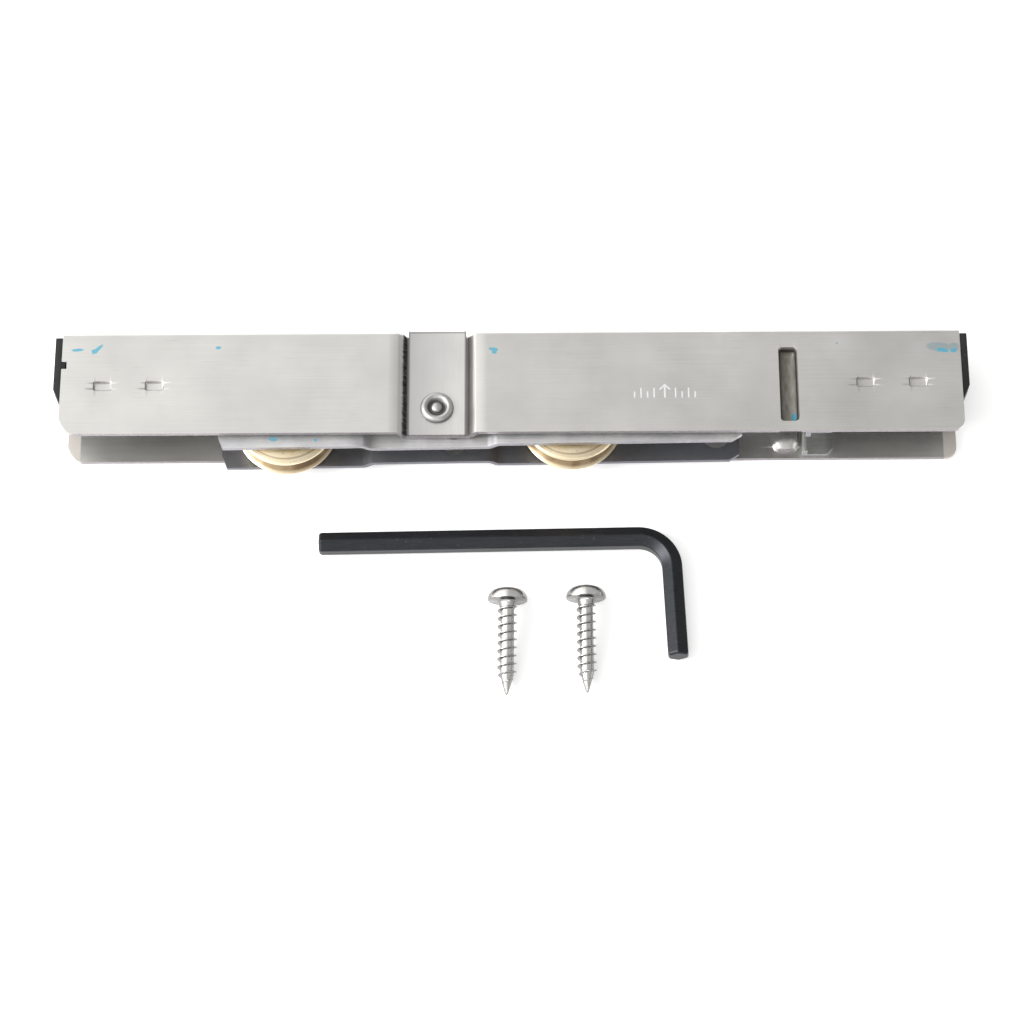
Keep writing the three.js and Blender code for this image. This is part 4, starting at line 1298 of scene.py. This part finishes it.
oxide = Finish("black_oxide")
grain = oxide.noise(oxide.place(stretched=(0.25, 3, 3)), 1.2, 4.0, 0.6)
worn = oxide.noise(oxide.place(), 1.9, 5.0, 0.7).rise(0.62, 0.75)
color = oxide.blend(grain, (0.019, 0.020, 0.023), (0.050, 0.052, 0.057))
color = oxide.blend(worn * 0.35, color, (0.28, 0.27, 0.27))
black_oxide = oxide.surface(
    color, 0.34 + 0.12 * grain + 0.1 * worn, 0.75, oxide.bump(grain + worn * 0.4, 0.2, 0.03)
)

nickel = Finish("screw_nickel")
film = nickel.noise(nickel.place(), 1.1, 4.0, 0.6)
color = nickel.blend(film.rise(0.4, 0.75), (0.97, 0.96, 0.94), (0.80, 0.79, 0.77))
# Painted light and shade: faces that point up keep the bright nickel, and the rest is painted dark.
upper = facing(nickel)[2].rise(0.5, 0.88)
color = nickel.blend(upper, (0.25, 0.245, 0.235), color)
screw_nickel = nickel.surface(color, 0.16 + 0.16 * film, 1.0, nickel.bump(film, 0.12, 0.03))
print("finishes:", [m.name for m in bpy.data.materials if not m.name.startswith("Material")][:20])

# %% [markdown]
# ## Put the pieces on the frame
#
# Each piece rides on the body that it moves with, and stands for its node in the frame. The two ball
# sets stay as the frame has them, deep inside their races, and get the bearing finish.

# %% Ride and replace
fit(housing, "root", "housing_steel", housing_steel, "housing_channel")
fit(strap, "root", "strap_steel", strap_steel, "saddle_strap")
fit(rivet, "root", "rivet_steel", rivet_steel, "pivot_rivet")
fit(bush, "bush", "dark_zinc", dark_zinc, "slide_bush")
fit(bracket, "root", "dark_zinc", bracket_zinc, "thrust_bracket")
fit(thrust_washer, "root", "dark_zinc", dark_zinc, "thrust_washer")
fit(plug_left, "root", "black_plastic", black_plastic, "end_plug_left")
fit(plug_right, "root", "black_plastic", black_plastic, "end_plug_right")
fit(truck, "truck", "truck_zinc", truck_zinc, "truck_frame")
fit(adjuster, "adjuster", "dark_zinc", dark_zinc, "adjust_screw")
fit(nut, "nut", "dark_zinc", dark_zinc, "draw_nut")
fit(key, "key", "black_oxide", black_oxide, "hex_key")
for side in ("left", "right"):
    outer, inner, front_washer, back_washer, axle = bearings[side]
    fit(wheels[side], f"wheel_{side}_turning", "wheel_brass", wheel_finishes[side], f"wheel_{side}")
    fit(outer, f"wheel_{side}_turning", "dark_zinc", bearing_steel, f"outer_race_{side}")
    fit(inner, "truck", "dark_zinc", bearing_steel, f"inner_race_{side}")
    fit(front_washer, "truck", "dark_zinc", dark_zinc, f"front_washer_{side}")
    fit(back_washer, "truck", "dark_zinc", dark_zinc, f"back_washer_{side}")
    fit(axle, "truck", "dark_zinc", dark_zinc, f"axle_{side}")
    screw_node = f"fixing_screw_{side}"
    fit(fixing_screws[side], f"loose_screw_{side}", "screw_nickel", screw_nickel, screw_node)
    balls = frame["nodes"][f"ball_set_{side}"]
    balls.data.materials.clear()
    balls.data.materials.append(bearing_steel)

# %% [markdown]
# ## Studio
#
# The set lies on a plain white floor, lit from below as well, as a shooting table is, so that shadows
# are faint. Bare metal shows its surroundings, so the light matters as much as the finish: the dome is
# bright on the left and falls off to the right, which grades the long housing from end to end. A soft
# lamp on the left picks out edges and facets that face it, and a weaker one stands in front.

# %% Floor and light
builder = bmesh.new()
bmesh.ops.create_grid(builder, x_segments=1, y_segments=1, size=3000)
floor = make_piece("floor", builder)
paper = Finish("floor_paper")
floor.data.materials.append(paper.surface((0.93, 0.93, 0.93), 0.9, glow=0.45))

world = bpy.data.worlds.new("studio")
world.use_nodes = True
bpy.context.scene.world = world
dome = world.node_tree
dome.nodes.clear()
direction = dome.nodes.new("ShaderNodeTexCoord")
split = dome.nodes.new("ShaderNodeSeparateXYZ")
grade = dome.nodes.new("ShaderNodeMapRange")
fall = {"From Min": -0.15, "From Max": 0.08, "To Min": 1.13, "To Max": 0.42}
for key_name, value in fall.items():
    grade.inputs[key_name].default_value = value
background = dome.nodes.new("ShaderNodeBackground")
background.inputs["Color"].default_value = (1.0, 0.995, 0.985, 1.0)
output = dome.nodes.new("ShaderNodeOutputWorld")
dome.links.new(direction.outputs["Generated"], split.inputs[0])
dome.links.new(split.outputs["X"], grade.inputs["Value"])
dome.links.new(grade.outputs["Result"], background.inputs["Strength"])
dome.links.new(background.outputs["Background"], output.inputs["Surface"])


def soft_lamp(name, place, aim, size, watts):
    """A square soft lamp, placed and aimed in millimetres."""
    data = bpy.data.lights.new(name, "AREA")
    data.size = size * MM
    data.energy = watts
    lamp = bpy.data.objects.new(name, data)
    turn = (Vector(aim) - Vector(place)).to_track_quat("-Z", "Y").to_matrix().to_4x4()
    lamp.matrix_world = Matrix.Translation(Vector(place) * MM) @ turn
    bpy.context.scene.collection.objects.link(lamp)


soft_lamp("left_lamp", (-640, -140, 430), (0, 0, 0), 320, 5.2)
soft_lamp("front_lamp", (160, -620, 420), (0, 0, 0), 300, 0.4)
bpy.context.scene.view_settings.view_transform = "Standard"
print("studio is lit")
